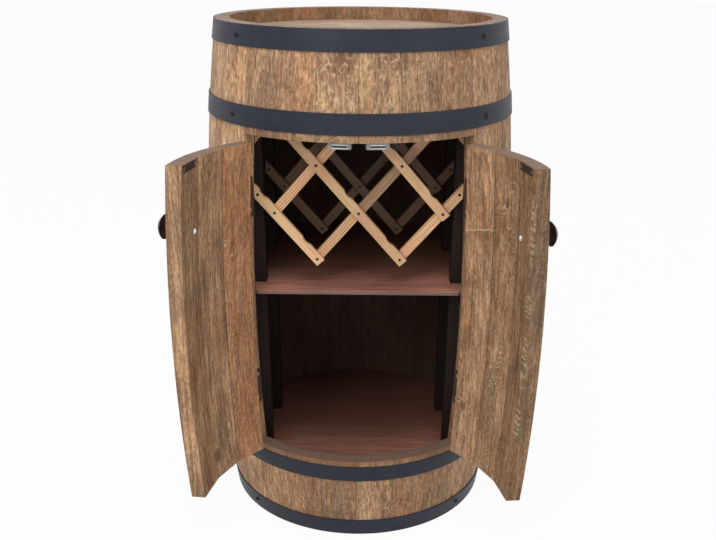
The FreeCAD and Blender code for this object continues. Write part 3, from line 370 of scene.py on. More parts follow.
def oak_grain_group(settings):
    """Figure of flat-sawn oak: growth rings, pores, ray flecks, knots and broad tones."""
    wires, given = start_group("Oak grain", IN_STAVE_DEFAULTS)
    across, up, deep, seed, lean = (given[name] for name in IN_STAVE)
    salt = wires.product(seed, 17.3)

    def field(width, height, extra, detail=2.0, roughness=0.5, distortion=0.0):
        """Noise whose spots are width across and height along the grain."""
        spot = wires.vector(
            wires.total((across, 1 / width), salt),
            wires.total((up, 1 / height), extra),
            wires.total((deep, 1 / width), salt),
        )
        return wires.noise(spot, 1.0, detail, roughness, distortion)

    sway = wires.less(field(0.055, 0.28, 3.1, detail=1.0), 0.5)
    ripple = wires.less(field(0.016, 0.05, 9.7), 0.5)

    knot_spot = wires.vector(
        wires.total((across, KNOTS_ACROSS), salt),
        wires.total((up, KNOTS_UP), 1.7),
        wires.product(seed, 3.9),
    )
    cells = wires.add("ShaderNodeTexVoronoi", {"Vector": knot_spot, "Scale": 1.0}).outputs
    closeness = cells["Distance"]
    drawn = wires.dice(wires.parts(cells["Color"])[0], 4.0)
    chosen = wires.ramp(drawn, 1 - KNOT_SHARE, 1.01 - KNOT_SHARE)
    knot_pull = wires.product(wires.ramp(closeness, 0.40, 0.05), chosen)
    knots = wires.product(wires.ramp(closeness, 0.085, 0.045), chosen)

    heart_x = wires.product(wires.less(wires.dice(seed, 1.0), 0.5), HEART_SHIFT)
    heart_deep = wires.total(HEART_NEAR, (wires.dice(seed, 2.0), HEART_SPREAD))
    bow = wires.product(lean, wires.less(up, (wires.dice(seed, 3.0), 0.8)))
    beside = wires.total(wires.less(across, heart_x), (sway, 0.022))
    behind = wires.total(heart_deep, deep, bow, (sway, 0.03))
    spread = wires.math("SQRT", wires.squares(beside, behind))
    growth = wires.total(
        wires.divided(spread, settings.ring_spacing), (ripple, 1.4), (knot_pull, 2.6))
    phase = wires.math("FRACT", growth)
    late = wires.product(wires.ramp(phase, 0.30, 0.85), wires.ramp(phase, 1.0, 0.90))
    uneven = wires.total(0.35, (wires.dice(wires.math("FLOOR", growth), seed), 0.65))

    fine = field(0.0019, 0.045, 5.5, detail=1.0)
    coarse = field(0.0036, 0.150, 2.2, roughness=0.6)

    swirl = field(0.028, 0.038, 7.3, detail=1.5, roughness=0.45, distortion=0.4)
    turns = wires.math("FRACT", (swirl, CURL_CONTOURS))
    contour = wires.absolute(wires.less(turns, 0.5))
    patch = field(0.010, 0.013, 6.1, detail=3.0)

    bars = field(0.050, 0.0052, 1.3, detail=1.0, distortion=0.1)
    streaks = field(0.0085, 0.45, 4.4, detail=4.0, roughness=0.62)
    clouds = field(0.045, 0.090, 8.8)
    return finish_group(wires, {
        "Rings": wires.product(late, uneven),
        "Pores": wires.larger((wires.ramp(fine, 0.51, 0.59), 0.8), wires.ramp(coarse, 0.54, 0.60)),
        "Curls": wires.product(wires.ramp(contour, 0.22, 0.05), wires.ramp(patch, 0.36, 0.60)),
        "Bars": wires.ramp(bars, 0.46, 0.54),
        "Knots": knots,
        "Tone": wires.total((streaks, 0.5), (clouds, 0.5)),
        "Warmth": field(0.030, 0.14, 0.9),
        "Mottle": field(0.0035, 0.0070, 3.3, detail=3.0, roughness=0.6),
    })


def stained_oak_group(settings, grain_tree):
    """Colour, roughness and relief of stained oak for a point in a stave or plank."""
    wires, given = start_group("Stained oak", {
        **IN_STAVE_DEFAULTS, "Light": settings.light, "Dark": settings.dark,
        "Warm amount": 0.5, "Grey amount": 0.4, "Brightness": 1.0, "Curl amount": 0.25,
        "Bar amount": 0.0,
    })
    grain = wires.group(grain_tree, {key: given[key] for key in IN_STAVE})
    rings, pores, warmth = grain["Rings"], grain["Pores"], grain["Warmth"]
    base = wires.mix(wires.ramp(grain["Tone"], 0.30, 0.70), given["Dark"], given["Light"])
    # An amount of warmth above 0.45 also tints the stave evenly.
    even = wires.less(given["Warm amount"], 0.45)
    warm = wires.larger(
        even, (wires.ramp(warmth, 0.34, 0.66), given["Warm amount"], 0.65), clamp=True)
    base = wires.mix(warm, base, settings.warm)
    grey = wires.product(wires.ramp(warmth, 0.58, 0.34), given["Grey amount"], 0.75)
    base = wires.mix(grey, base, settings.grey)
    mottle = wires.ramp(grain["Mottle"], 0.36, 0.64, 0.84, 1.31)
    base = wires.scaled(base, wires.product(given["Brightness"], mottle))
    base = wires.mix((rings, 0.45), base, given["Dark"])
    base = wires.mix((pores, 0.46), base, settings.pore)
    shine = wires.larger(
        (grain["Curls"], given["Curl amount"]), (grain["Bars"], given["Bar amount"]))
    base = wires.mix(shine, base, settings.ray)
    return finish_group(wires, {
        "Color": wires.mix((grain["Knots"], 0.8), base, settings.pore),
        "Roughness": wires.total(0.52, (pores, 0.18), (rings, 0.08), (shine, -0.2)),
        "Height": wires.total((pores, -0.55), (rings, -0.35), (shine, 0.3), (grain["Tone"], 0.4)),
    })


def end_grain_group(settings):
    """Colour and relief of sawn stave ends: arcs of rings, specks of pores and dark clouds."""
    wires, given = start_group("End grain", {
        "Across": 0.0, "Radius": 0.0, "Seed": 0.0, "Tint": settings.rim,
    })
    salt = wires.product(given["Seed"], 5.7)
    spot = wires.vector(given["Across"], given["Radius"], salt)
    cloud = wires.noise(spot, 60.0, 3.0)
    rings = wires.math("FRACT", wires.total((given["Radius"], 260.0), (cloud, 2.2)))
    specks = wires.ramp(wires.noise(spot, 900.0), 0.56, 0.70)
    late = wires.product(wires.ramp(rings, 0.55, 0.95), 0.35)
    base = wires.mix(late, given["Tint"], settings.dark)
    base = wires.mix((specks, 0.4), base, settings.pore)
    shade = wires.ramp(cloud, 0.6, 0.3, 0.0, 0.25)
    return finish_group(wires, {
        "Color": wires.mix(shade, base, settings.dark),
        "Height": wires.total((specks, -0.6), rings),
    })


def oval_mark_group():
    """Mask of an oval patch on a stave."""
    wires, given = start_group("Oval mark", {
        "Across": 0.0, "Up": 0.0, "Centre across": 0.0, "Centre up": 0.0, "Half width": 0.01,
        "Half height": 0.01,
    })
    sideways = wires.divided(
        wires.less(given["Across"], given["Centre across"]), given["Half width"])
    upwards = wires.divided(wires.less(given["Up"], given["Centre up"]), given["Half height"])
    return finish_group(wires, {"Mask": wires.ramp(wires.squares(sideways, upwards), 1.3, 0.6)})


def planed_wood_group(wood):
    """Planed wood, stained or plain: growth lines, pores and clouds of stain."""
    wires, given = start_group("Planed wood", {
        "Vector": None, "Tint": wood.board, "Dark": wood.post, "Ring spacing": 0.004,
        "Contrast": 0.5, "Roughness": 0.6,
    })
    point, dark = given["Vector"], given["Dark"]
    density = wires.divided(1.0, given["Ring spacing"])
    cloud = wires.noise(point, 30.0, 3.0)
    lines = wires.noise(point, density, 3.0, 0.6)
    pores = wires.ramp(wires.noise(point, wires.product(density, 4.0), 2.0, 0.6), 0.55, 0.75)
    late = wires.product(wires.ramp(lines, 0.42, 0.62), given["Contrast"])
    paint = wires.mix(late, given["Tint"], dark)
    paint = wires.mix((pores, given["Contrast"], 0.5), paint, dark)
    return finish_group(wires, {
        "Color": wires.mix(wires.ramp(cloud, 0.6, 0.3, 0.0, 0.35), paint, dark),
        "Roughness": wires.total(given["Roughness"], (pores, 0.12)),
        "Height": wires.product(wires.total(lines, pores), -0.5),
    })


def pine_group(wood):
    """Planed pine whose grain runs along the first axis: broad and fine reddish lines."""
    wires, given = start_group("Planed pine", {
        "Vector": None, "Bands": 0.5, "Streaks": 0.3, "Stain": 0.0,
    })
    point, ring = given["Vector"], wood.pine_ring
    along, deep, across = wires.parts(point)
    sway = wires.less(wires.noise(wires.vector(wires.product(along, 9.0), 0.0, across)), 0.5)
    rings = wires.math("SINE", (wires.total(across, (deep, 0.4), (sway, 0.006)), 1650.0))
    lines = wires.noise(wires.stretched(point, (7.0, 230.0, 330.0)), 1.0, 3.0, 0.55)
    fine = wires.noise(wires.stretched(point, (30.0, 900.0, 1400.0)))
    broad = wires.product(
        wires.ramp(rings, -0.1, 0.8), wires.ramp(lines, 0.36, 0.50), given["Bands"])
    paint = wires.mix(broad, wood.pine, ring)
    paint = wires.mix((wires.ramp(lines, 0.50, 0.64), given["Streaks"]), paint, ring)
    paint = wires.mix(wires.ramp(fine, 0.5, 0.75, 0.0, 0.3), paint, ring)
    blush = wires.ramp(wires.noise(point, 14.0, 1.0), 0.45, 0.65, 0.0, 0.6)
    paint = wires.mix(blush, paint, wires.mix(lines, wood.pine_blush, ring))
    # Painted shade: as far as the Stain input asks, the pine is covered with a dark brown that
    # stands in for the shadow over the rear rack.
    stained = wires.mix(fine, wood.post, wood.rear_rack_shade)
    return finish_group(wires, {
        "Color": wires.mix(given["Stain"], paint, stained),
        "Roughness": wires.total(0.42, (fine, 0.15)),
        "Height": wires.total((lines, -0.5), (fine, -0.3)),
    })


def lacquer_group(steel):
    """Lacquered steel: faint mottling, scuffs and worn spots."""
    wires, given = start_group("Lacquered steel", {
        "Vector": None, "Tint": steel.hoop, "Wear": 0.1, "Roughness": 0.45,
    })
    point = given["Vector"]
    mottle = wires.noise(point, 45.0, 4.0)
    scuffs = wires.ramp(wires.noise(point, 190.0, 5.0, 0.7), 0.60, 0.74)
    streak = wires.less(wires.noise(wires.stretched(point, (9, 9, 160)), 1.0, 3.0), 0.5)
    paint = wires.scaled(given["Tint"], wires.ramp(mottle, 0.35, 0.7, 1.0, 1.2))
    return finish_group(wires, {
        "Color": wires.mix((scuffs, given["Wear"]), paint, steel.worn),
        "Roughness": wires.total(given["Roughness"], (scuffs, 0.2), (streak, 0.22)),
        "Height": wires.total(mottle, (streak, 0.4), (scuffs, -0.5)),
    })


def plated_group(steel):
    """Plated steel: fine turning marks and tarnish."""
    wires, given = start_group("Plated steel", {
        "Vector": None, "Tint": steel.zinc, "Roughness": 0.3,
    })
    marks = wires.noise(given["Vector"], 700.0, 3.0)
    tarnish = wires.ramp(wires.noise(given["Vector"], 120.0, 3.0), 0.45, 0.75)
    clean = wires.less(1.0, (tarnish, 0.27))
    return finish_group(wires, {
        "Color": wires.scaled(given["Tint"], clean),
        "Roughness": wires.total(given["Roughness"], (marks, 0.12), (tarnish, 0.15)),
        "Height": marks,
    })


def skin_group(wood):
    """Moulded or brushed skin: a fine texture and rubbed spots."""
    wires, given = start_group("Fine skin", {
        "Vector": None, "Tint": wood.knob, "Grain scale": 300.0, "Roughness": 0.4,
    })
    cloud = wires.noise(given["Vector"], 60.0, 3.0)
    return finish_group(wires, {
        "Color": wires.scaled(given["Tint"], wires.ramp(cloud, 0.4, 0.7, 1.0, 0.88)),
        "Roughness": wires.total(given["Roughness"], (cloud, 0.12)),
        "Height": wires.noise(given["Vector"], given["Grain scale"], 3.0),
    })


@cache
def library():
    """The node groups, built at their first use, and the settings they were built with."""
    scene = bpy.context.scene
    oak, steel, wood = scene.barrel_oak, scene.barrel_steel, scene.barrel_joinery
    return SimpleNamespace(
        oak=oak,
        steel=steel,
        wood=wood,
        place=barrel_place_group(oak),
        stained=stained_oak_group(oak, oak_grain_group(oak)),
        end_grain=end_grain_group(oak),
        mark=oval_mark_group(),
        planed=planed_wood_group(wood),
        pine=pine_group(wood),
        lacquer=lacquer_group(steel),
        plated=plated_group(steel),
        skin=skin_group(wood),
    )


# --- Materials ---

SURFACE = ("Color", "Roughness", "Height")


def start_material(name):
    """New material with a Principled shader; returns the material, wiring and shader."""
    material = bpy.data.materials.new(name)
    material.use_nodes = True
    tree = material.node_tree
    tree.nodes.clear()
    wires = Wiring(tree)
    shader = wires.add("ShaderNodeBsdfPrincipled")
    wires.add("ShaderNodeOutputMaterial", {"Surface": shader.outputs[0]})
    return material, wires, shader


def finish_shader(wires, shader, surface, relief, specular=0.5):
    """Connect colour, roughness and height; relief is the depth of the bump in metres."""
    base, roughness, height = surface
    bump = wires.add("ShaderNodeBump", {"Height": height, "Distance": relief, "Strength": 1.0})
    wires.feed_all(shader.inputs, {
        "Base Color": base, "Roughness": roughness, "Normal": bump.outputs[0],
        "Specular IOR Level": specular,
    })


def object_place(wires):
    """Object coordinates and the object's own normal."""
    outputs = wires.add("ShaderNodeTexCoord").outputs
    return outputs["Object"], outputs["Normal"]


def surface_material(name, tree, inputs, relief, specular=0.5):
    """Material whose colour, roughness and height come from one node group."""
    material, wires, shader = start_material(name)
    point, _ = object_place(wires)
    skin = wires.group(tree, {"Vector": point, **inputs})
    finish_shader(wires, shader, [skin[label] for label in SURFACE], relief, specular)
    return material, shader


def dress(material, *nodes):
    """Give CAD nodes their material."""
    for name in nodes:
        node = NODES[name]
        if not node.material_slots:
            node.data.materials.append(material)
        for slot in node.material_slots:
            slot.material = material


# --- Oak ---

GRAIN_RELIEF = 0.00035
OAK_SPECULAR = 0.20
SEED_SPREAD = 9.0
FREE_EDGE = 0.0015
EDGE_BLUR = 0.0005
MARK_STRENGTH = {"knots": 0.60, "curls": 0.45, "bars": 0.6}
CRACK_STRENGTH = 0.6
CRACK_SHADE = 0.4
INSIDE_STAIN = 0.90
CHIME_SHADE = 0.40
SAWN_SHARE = 0.78
CUT_SHADE = 0.60
SEAM_SHADE = {"cabinet": 0.32, "left_door": 0.70, "right_door": 0.70}
HEAD_PLANKS = 6


def closing_turn(body):
    """Pivot and angle about +Z that bring a stored open door back to closed."""
    joint = JOINTS[body]
    return joint["pos_m"], math.radians(joint["range_deg"][0]) * joint["axis"][2]


def blobs(wires, across, up, spots):
    """Mask of oval patches; each is (across, up, half width, half height) in metres."""
    mask = 0.0
    for x, z, half_width, half_height in spots:
        patch = wires.group(library().mark, {
            "Across": across, "Up": up, "Centre across": x, "Centre up": z,
            "Half width": half_width, "Half height": half_height,
        })
        mask = wires.larger(patch["Mask"], mask)
    return mask


def value_by_number(wires, number, first, values):
    """Value of a stave or slat by its number; first is the number of the first value."""
    result = values[0]
    for index, item in enumerate(values[1:], start=1):
        step = wires.math("GREATER_THAN", number, first + index - 0.5)
        result = wires.total(result, (step, item - values[index - 1]))
    return result


def crack(wires, across, up, at):
    """A pale wavy line across a stave and the shade of the wood below it."""
    height, slope = at
    wave = wires.less(wires.noise(wires.vector(across, 0.0, height), 60.0, 1.0), 0.5)
    line = wires.total(height, (across, slope), (wave, 0.008))
    above = wires.less(up, line)
    pale = wires.ramp(wires.absolute(above), 0.0016, 0.0005)
    shade = wires.product(wires.ramp(above, -0.024, -0.006), wires.ramp(above, 0.0, -0.002))
    return pale, shade


Tone = namedtuple("Tone", "brightness warm grey curl bars lean", defaults=(0.25, 0.0, 0.07))


def stave_material(name, body, seed, tone, marks=None):
    """Oak of one or more staves.

    tone is a Tone, or a list of them that gives each stave of the front row its own, from
    left to right.  marks holds lists of spots for knots, curls and bars, the height and
    slope of a crack, a factor of painted light and shade on a door's free-edge face, and the
    heights over which the outer face grows darker towards the doorway, with its strength.
    """
    parts = library()
    settings = parts.oak
    marks = marks or {}
    material, wires, shader = start_material(name)
    point, normal = object_place(wires)
    if body in JOINTS:
        pivot, turn = closing_turn(body)
        point = wires.rotated(point, "Z", turn, pivot)
    place = wires.group(parts.place, {"Vector": point})
    across, height, inner = place["Across"], place["Up"], place["Inner"]
    own = wires.total((wires.dice(place["Stave"], seed), SEED_SPREAD), seed)

    if isinstance(tone, list):
        first = settings.door_staves + settings.side_staves - len(tone) / 2
        brightness, warm, grey, curl, bars = (
            value_by_number(wires, place["Stave"], first, [entry[index] for entry in tone])
            for index in range(5)
        )
        lean = tone[0].lean
    else:
        brightness, warm, grey, curl, bars, lean = tone

    def marked(kind):
        """Mask of one kind of mark on the inner face."""
        return wires.product(blobs(wires, across, height, marks[kind]), inner, MARK_STRENGTH[kind])

    if "curls" in marks:
        curl = wires.total(curl, marked("curls"))
    if "bars" in marks:
        bars = wires.total(bars, marked("bars"))
    oak = wires.group(parts.stained, {
        "Across": across, "Up": height, "Deep": wires.less(BELLY_RADIUS, place["Radius"]),
        "Seed": own, "Lean": lean, "Warm amount": warm, "Grey amount": grey,
        "Brightness": brightness, "Curl amount": curl, "Bar amount": bars,
    })
    paint = oak["Color"]
    if "knots" in marks:
        paint = wires.mix(marked("knots"), paint, settings.pore)
    if "crack" in marks:
        pale, shade = crack(wires, across, height, marks["crack"])
        paint = wires.mix((shade, inner, CRACK_SHADE), paint, settings.dark)
        paint = wires.mix((pale, inner, CRACK_STRENGTH), paint, settings.ray)
    # Painted light and shade: the door's free-edge face is multiplied by the given factor, painted
    # light above 1 and painted shade below 1.
    if "free edge" in marks:
        beside = wires.absolute(wires.parts(point)[0])
        edge = wires.ramp(beside, FREE_EDGE + EDGE_BLUR, FREE_EDGE)
        paint = wires.mix(edge, paint, wires.scaled(paint, marks["free edge"]))
    # The outer face grows darker between the given heights, towards the doorway's edge.
    if "doorway_darkening" in marks:
        start, end, strength = marks["doorway_darkening"]
        doorway_darkening = wires.product(wires.ramp(height, start, end), strength)
        paint = wires.mix(doorway_darkening, paint, settings.dark)

    if body == "cabinet":
        # The inside is stained dark except above the top head, where the chime shows.
        below_head = wires.ramp(height, HEAD_TOP + 0.001, HEAD_TOP)
        paint = wires.mix((inner, below_head, INSIDE_STAIN), paint, settings.inside)
        chime = wires.product(inner, wires.less(1.0, below_head), CHIME_SHADE)
        paint = wires.mix(chime, paint, settings.dark)
    ends = wires.ramp(wires.absolute(wires.parts(normal)[2]), 0.70, 0.85)
    sawn = wires.group(parts.end_grain, {
        "Across": across, "Radius": place["Radius"], "Seed": own,
    })
    # Ends that the doorway cuts are darker than those at the rim and the foot.
    cut_through = wires.product(wires.ramp(height, 0.70, 0.64), wires.ramp(height, 0.10, 0.14))
    sawn_paint = wires.mix((cut_through, CUT_SHADE), sawn["Color"], settings.grey)
    paint = wires.mix((ends, SAWN_SHARE), paint, sawn_paint)
    seam = wires.product(place["Seam"], wires.less(1.0, ends), SEAM_SHADE[body])
    paint = wires.mix(seam, paint, settings.pore)
    relief = wires.mix(ends, oak["Height"], sawn["Height"])
    finish_shader(wires, shader, (paint, oak["Roughness"], relief), GRAIN_RELIEF, OAK_SPECULAR)
    return material


# Tones of the front rows from the left of the doorway to its right.
UPPER_TONES = [
    Tone(0.87, 0.15, 0.60, 0.12),
    Tone(1.10, 0.50, 0.15, 0.15),
    Tone(0.92, 0.20, 0.25, 0.50),
    Tone(0.96, 0.25, 0.25, 0.48),
    Tone(0.90, 0.45, 0.35, 0.25),
    Tone(0.80, 0.55, 0.35, 0.20),
]
LOWER_TONES = [
    Tone(1.02, 0.50, 0.25, 0.10),
    Tone(0.83, 0.65, 0.25, 0.10),
    Tone(0.80, 0.35, 1.00, 0.10),
    Tone(1.04, 0.15, 0.10, 0.40),
    Tone(0.94, 0.60, 0.25, 0.20),
    Tone(0.78, 0.50, 0.40, 0.15),
]
DOOR_TONES = {
    "left_door_stave_1": Tone(0.80, 0.30, 0.45, 0.10),
    "left_door_stave_2": Tone(0.90, 0.20, 0.45, 0.15),
    "left_door_stave_3": Tone(0.92, 0.98, 0.00, 0.20),
    "right_door_stave_1": Tone(0.72, 0.35, 0.40, 0.15),
    "right_door_stave_2": Tone(0.88, 0.35, 0.40, 0.35),
    "right_door_stave_3": Tone(1.00, 0.45, 0.15, 0.20),
}
# The factor for each door's free-edge face is painted light above 1 and painted shade below 1.
DOOR_MARKS = {
    "left_door_stave_1": {"free edge": 1.16},
    "left_door_stave_2": {
        "knots": [(0.022, 0.194, 0.008, 0.012)],
        "curls": [(-0.016, 0.210, 0.012, 0.024)],
    },
    "left_door_stave_3": {"curls": [(0.018, 0.500, 0.009, 0.036)]},
    "right_door_stave_1": {
        "free edge": 0.72,
        "knots": [(0.021, 0.235, 0.003, 0.007)],
        "bars": [(-0.020, 0.460, 0.009, 0.020), (-0.0205, 0.376, 0.0085, 0.046),
                 (-0.021, 0.288, 0.008, 0.034), (-0.022, 0.560, 0.006, 0.050)],
    },
    "right_door_stave_2": {
        "knots": [(-0.003, 0.583, 0.004, 0.008)],
        "curls": [(-0.003, 0.575, 0.014, 0.045), (0.004, 0.330, 0.014, 0.060)],
    },
    "right_door_stave_3": {
        "knots": [(0.009, 0.243, 0.005, 0.007)],
        "curls": [(0.009, 0.246, 0.016, 0.022)],
        "crack": (0.529, -0.21),
    },
}
WHOLE_STAVES = sorted(name for name in NODES if name.startswith("stave_"))
JAMB_TONES = {
    "stave_18": Tone(1.42, 0.30, 0.10, 0.30),
    "stave_17": Tone(1.25, 0.30, 0.20, 0.30),
    "stave_01": Tone(1.00, 0.40, 0.25, 0.30),
}
# Each row: its node, its seed, its tones, and the heights and strength of its darkening towards
# the doorway.
FRONT_ROWS = (
    ("upper_front", 31.0, UPPER_TONES, (0.668, 0.656, 0.35)),
    ("lower_front", 47.0, LOWER_TONES, (0.134, 0.146, 0.70)),
)
FIRST_DOOR_SEED = 60


def side_tone(number):
    """Tone of a whole stave, which changes round the barrel without a rhythm."""
    return Tone(1.02 + 0.16 * math.sin(number * 2.4), 0.45 + 0.25 * math.cos(number * 1.7),
                0.35, 0.25)


class BARREL_OT_staves(bpy.types.Operator):
    """Stain the staves of the barrel, each in its own tone"""

    bl_idname = "barrel.staves"
    bl_label = "Staves"

    def execute(self, context):
        for number, name in enumerate(WHOLE_STAVES, start=1):
            tone = JAMB_TONES.get(name, side_tone(number))
            dress(stave_material(f"oak_{name}", "cabinet", float(number), tone), name)
        for row, seed, tones, doorway_darkening in FRONT_ROWS:
            oak = stave_material(f"oak_{row}", "cabinet", seed, tones, {"doorway_darkening": doorway_darkening})
            dress(oak, f"{row}_staves")
        return {"FINISHED"}


class BARREL_OT_doors(bpy.types.Operator):
    """Stain the staves of both doors"""

    bl_idname = "barrel.doors"
    bl_label = "Doors"

    def execute(self, context):
        for seed, (name, tone) in enumerate(DOOR_TONES.items(), start=FIRST_DOOR_SEED):
            body = name.split("_stave")[0]
            marks = DOOR_MARKS.get(name)
            dress(stave_material(f"oak_{name}", body, float(seed), tone, marks), name)
        return {"FINISHED"}


class BARREL_OT_heads(bpy.types.Operator):
    """Finish the planks of both heads"""

    bl_idname = "barrel.heads"
    bl_label = "Heads"

    def execute(self, context):
        low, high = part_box("top_head")
        plank = (high.y - low.y) / HEAD_PLANKS
        material, wires, shader = start_material("oak_head")
        point, _ = object_place(wires)
        x, y, z = wires.parts(point)
        counted = wires.divided(wires.less(y, low.y), plank)
        board = wires.math("FLOOR", counted)
        centred = wires.product(wires.less(wires.less(counted, board), 0.5), plank)
        oak = wires.group(library().stained, {
            "Across": centred, "Up": x, "Deep": z,
            "Seed": wires.total((wires.dice(board, 3.0), SEED_SPREAD), 5.0),
            "Lean": 0.05, "Light": (0.60, 0.43, 0.31), "Dark": (0.34, 0.225, 0.15),
            "Warm amount": 0.15, "Grey amount": 0.15,
        })
        finish_shader(wires, shader, [oak[label] for label in SURFACE], GRAIN_RELIEF)
        dress(material, "top_head", "bottom_head")
        return {"FINISHED"}


# --- Metal ---

LACQUER_RELIEF = 0.0001
PLATING_RELIEF = 0.00004


class BARREL_OT_metal(bpy.types.Operator):
    """Lacquer the hoops and finish screws, hinges and strike plates"""

    bl_idname = "barrel.metal"
    bl_label = "Metal"

    def execute(self, context):
        parts = library()
        steel = parts.steel
        for name, tint, wear, roughness, specular, nodes in (
            ("hoop_lacquer", steel.hoop, 0.18, 0.46, 0.25,
             ("top_hoop", "upper_hoop", "lower_hoop", "bottom_hoop")),
            ("black_screw", steel.black, 0.1, 0.10, 0.24, ("hoop_screws",)),
            ("brown_screw", steel.browned, 0.1, 0.40, 0.25, ("rack_screws",)),
            ("hinge_lacquer", steel.hinge, 0.3, 0.45, 0.25,
             ("frame_hinge_leaves", "left_door_hinge_leaves", "right_door_hinge_leaves",
              "hinge_pins")),
        ):
            lacquer, _ = surface_material(
                name, parts.lacquer, {"Tint": tint, "Wear": wear, "Roughness": roughness},
                LACQUER_RELIEF, specular)
            dress(lacquer, *nodes)
        for name, tint, roughness, nodes in (
            ("zinc", steel.zinc, 0.28,
             ("left_door_screws", "right_door_screws", "catch_screws", "catch_pole_plates",
              "frame_hinge_screws")),
            ("dark_patina", steel.patina, 0.42, ("left_strike_plate", "right_strike_plate")),
        ):
            plated, shader = surface_material(
                name, parts.plated, {"Tint": tint, "Roughness": roughness}, PLATING_RELIEF)
            shader.inputs["Metallic"].default_value = 1.0
            dress(plated, *nodes)
        return {"FINISHED"}


# --- Joinery and fittings ---

WOOD_RELIEF = 0.0002
GRAIN_STRETCH = {"x": (0.06, 1.0, 1.0), "z": (1.0, 1.0, 0.06)}


def planed_material(name, tint, dark, direction, spacing, contrast, roughness, edge=None):
    """Planed wood; direction is the axis that the grain follows.

    A board has a front edge of its own colour; painted shade darkens it towards the back and
    painted light makes it paler towards its ends.
    """
    material, wires, shader = start_material(name)
    point, normal = object_place(wires)
    wood = wires.group(library().planed, {
        "Vector": wires.stretched(point, GRAIN_STRETCH[direction]), "Tint": tint, "Dark": dark,
        "Ring spacing": spacing, "Contrast": contrast, "Roughness": roughness,
    })
    paint = wood["Color"]
    if edge:
        # Painted light: the board is made paler towards its ends, lifting it out of the shade of
        # the jambs and posts.
        sideways = wires.absolute(wires.parts(point)[0])
        paint = wires.scaled(paint, wires.ramp(sideways, 0.05, 0.13, 1.0, 1.45))
        # Painted shade: the board grows darker towards the back, away from the light.
        painted_back_shade = wires.ramp(wires.parts(point)[1], -0.17, 0.02, 0.0, 0.85)
        paint = wires.mix(painted_back_shade, paint, dark)
        front = wires.ramp(wires.parts(normal)[1], -0.6, -0.9, 0.0, 0.8)
        paint = wires.mix(front, paint, edge)
    finish_shader(wires, shader, (paint, wood["Roughness"], wood["Height"]), WOOD_RELIEF, 0.15)
    return material


class BARREL_OT_joinery(bpy.types.Operator):
    """Stain the boards and posts and finish the dowels"""

    bl_idname = "barrel.joinery"
    bl_label = "Boards and posts"

    def execute(self, context):
        wood = context.scene.barrel_joinery
        board = planed_material("board_stain", wood.board, wood.board_grain_and_shade, "x", 0.004, 0.4, 0.6,
                                wood.board_edge)
        dress(board, "middle_shelf", "floor_board", "ceiling_board")
        post = planed_material("post_stain", wood.post, wood.post_dark, "z", 0.004, 0.5, 0.6)
        dress(post, "shelf_posts", "rack_posts", "floor_blocks")
        beech = planed_material("beech", wood.beech, wood.beech_dark, "z", 0.002, 0.4, 0.5)
        dress(beech, "post_dowels")
        return {"FINISHED"}


# The slats lie across a turned frame at even steps, the first step from LATTICE_START.
SLAT_SLOPE = math.radians(48.9)
SLAT_PITCH = 0.0959
LATTICE_START = 0.203
# Brightness of the painted shadow on the slats.
SHADED_TONE = 0.55


def pine_material(name, turn, bands, streaks, stain, tones, shaded):
    """Pine of slats that slope down to the right by the angle turn.

    bands and streaks are the strength of the broad and the fine growth lines; the next
    argument is that of the painted shade that darkens the rear rack's pine in its shadow.
    tones holds the brightness of each slat, from the lowest up, partly its own tone and partly
    painted light against the shade of the jambs; shaded holds spots of painted shadow:
    (across, along, half width, half length).
    """
    material, wires, shader = start_material(name)
    point, _ = object_place(wires)
    turned = wires.rotated(point, "Y", -turn)
    pine = wires.group(library().pine, {
        "Vector": turned, "Bands": bands, "Streaks": streaks, "Stain": stain,
    })
    along, _, across = wires.parts(turned)
    place = wires.divided(wires.less(across, LATTICE_START), SLAT_PITCH)
    # Painted light and shade: each slat's brightness, partly its own tone and partly painted
    # light, and spots of painted shadow.
    tone = value_by_number(wires, wires.math("FLOOR", place), 0, tones)
    shade = wires.ramp(blobs(wires, across, along, shaded), 0.0, 1.0, 1.0, SHADED_TONE)
    paint = wires.scaled(pine["Color"], wires.product(tone, shade))
    finish_shader(wires, shader, (paint, pine["Roughness"], pine["Height"]), WOOD_RELIEF, 0.35)
    return material


class BARREL_OT_racks(bpy.types.Operator):
    """Finish the pine slats of both lattice racks"""

    bl_idname = "barrel.racks"
    bl_label = "Racks"

    def execute(self, context):
        # Each row: the slope, the layer, the broad and the fine growth lines, each slat's
        # brightness (partly painted light) and the spots of painted shadow.
        for turn, layer, bands, streaks, tones, shaded in (
            (SLAT_SLOPE, "falling", 0.15, 0.30, (1.16, 0.90, 1.10, 1.00), []),
            (-SLAT_SLOPE, "rising", 0.9, 0.35, (1.20, 1.00, 1.25, 1.00),
             [(0.347, 0.465, 0.030, 0.065)]),
        ):
            # The rear rack is the same pine as the front one, darkened with painted shade.
            for rack, stain in (("front", 0.0), ("rear", 0.80)):
                name = f"{rack}_rack_{layer}_slats"
                dress(pine_material(name, turn, bands, streaks, stain, tones, shaded), name)
        return {"FINISHED"}


class BARREL_OT_fittings(bpy.types.Operator):
    """Finish the catches and lacquer the knobs"""

    bl_idname = "barrel.fittings"
    bl_label = "Catches and knobs"

    def execute(self, context):
        parts = library()
        wood = parts.wood
        for name, tint, scale, roughness, relief, coat, nodes in (
            ("catch_plastic", wood.plastic, 900.0, 0.42, 0.00005, 0.0, ("catch_housings",)),
            ("magnet", wood.magnet, 700.0, 0.50, 0.00005, 0.0, ("catch_magnets",)),
            ("knob_lacquer", wood.knob, 300.0, 0.40, 0.00008, 0.05, ("left_knob", "right_knob")),
        ):
            material, shader = surface_material(
                name, parts.skin, {"Tint": tint, "Grain scale": scale, "Roughness": roughness},
                relief)
            shader.inputs["Coat Weight"].default_value = coat
            shader.inputs["Coat Roughness"].default_value = 0.12
            dress(material, *nodes)
        return {"FINISHED"}


# --- Stage ---

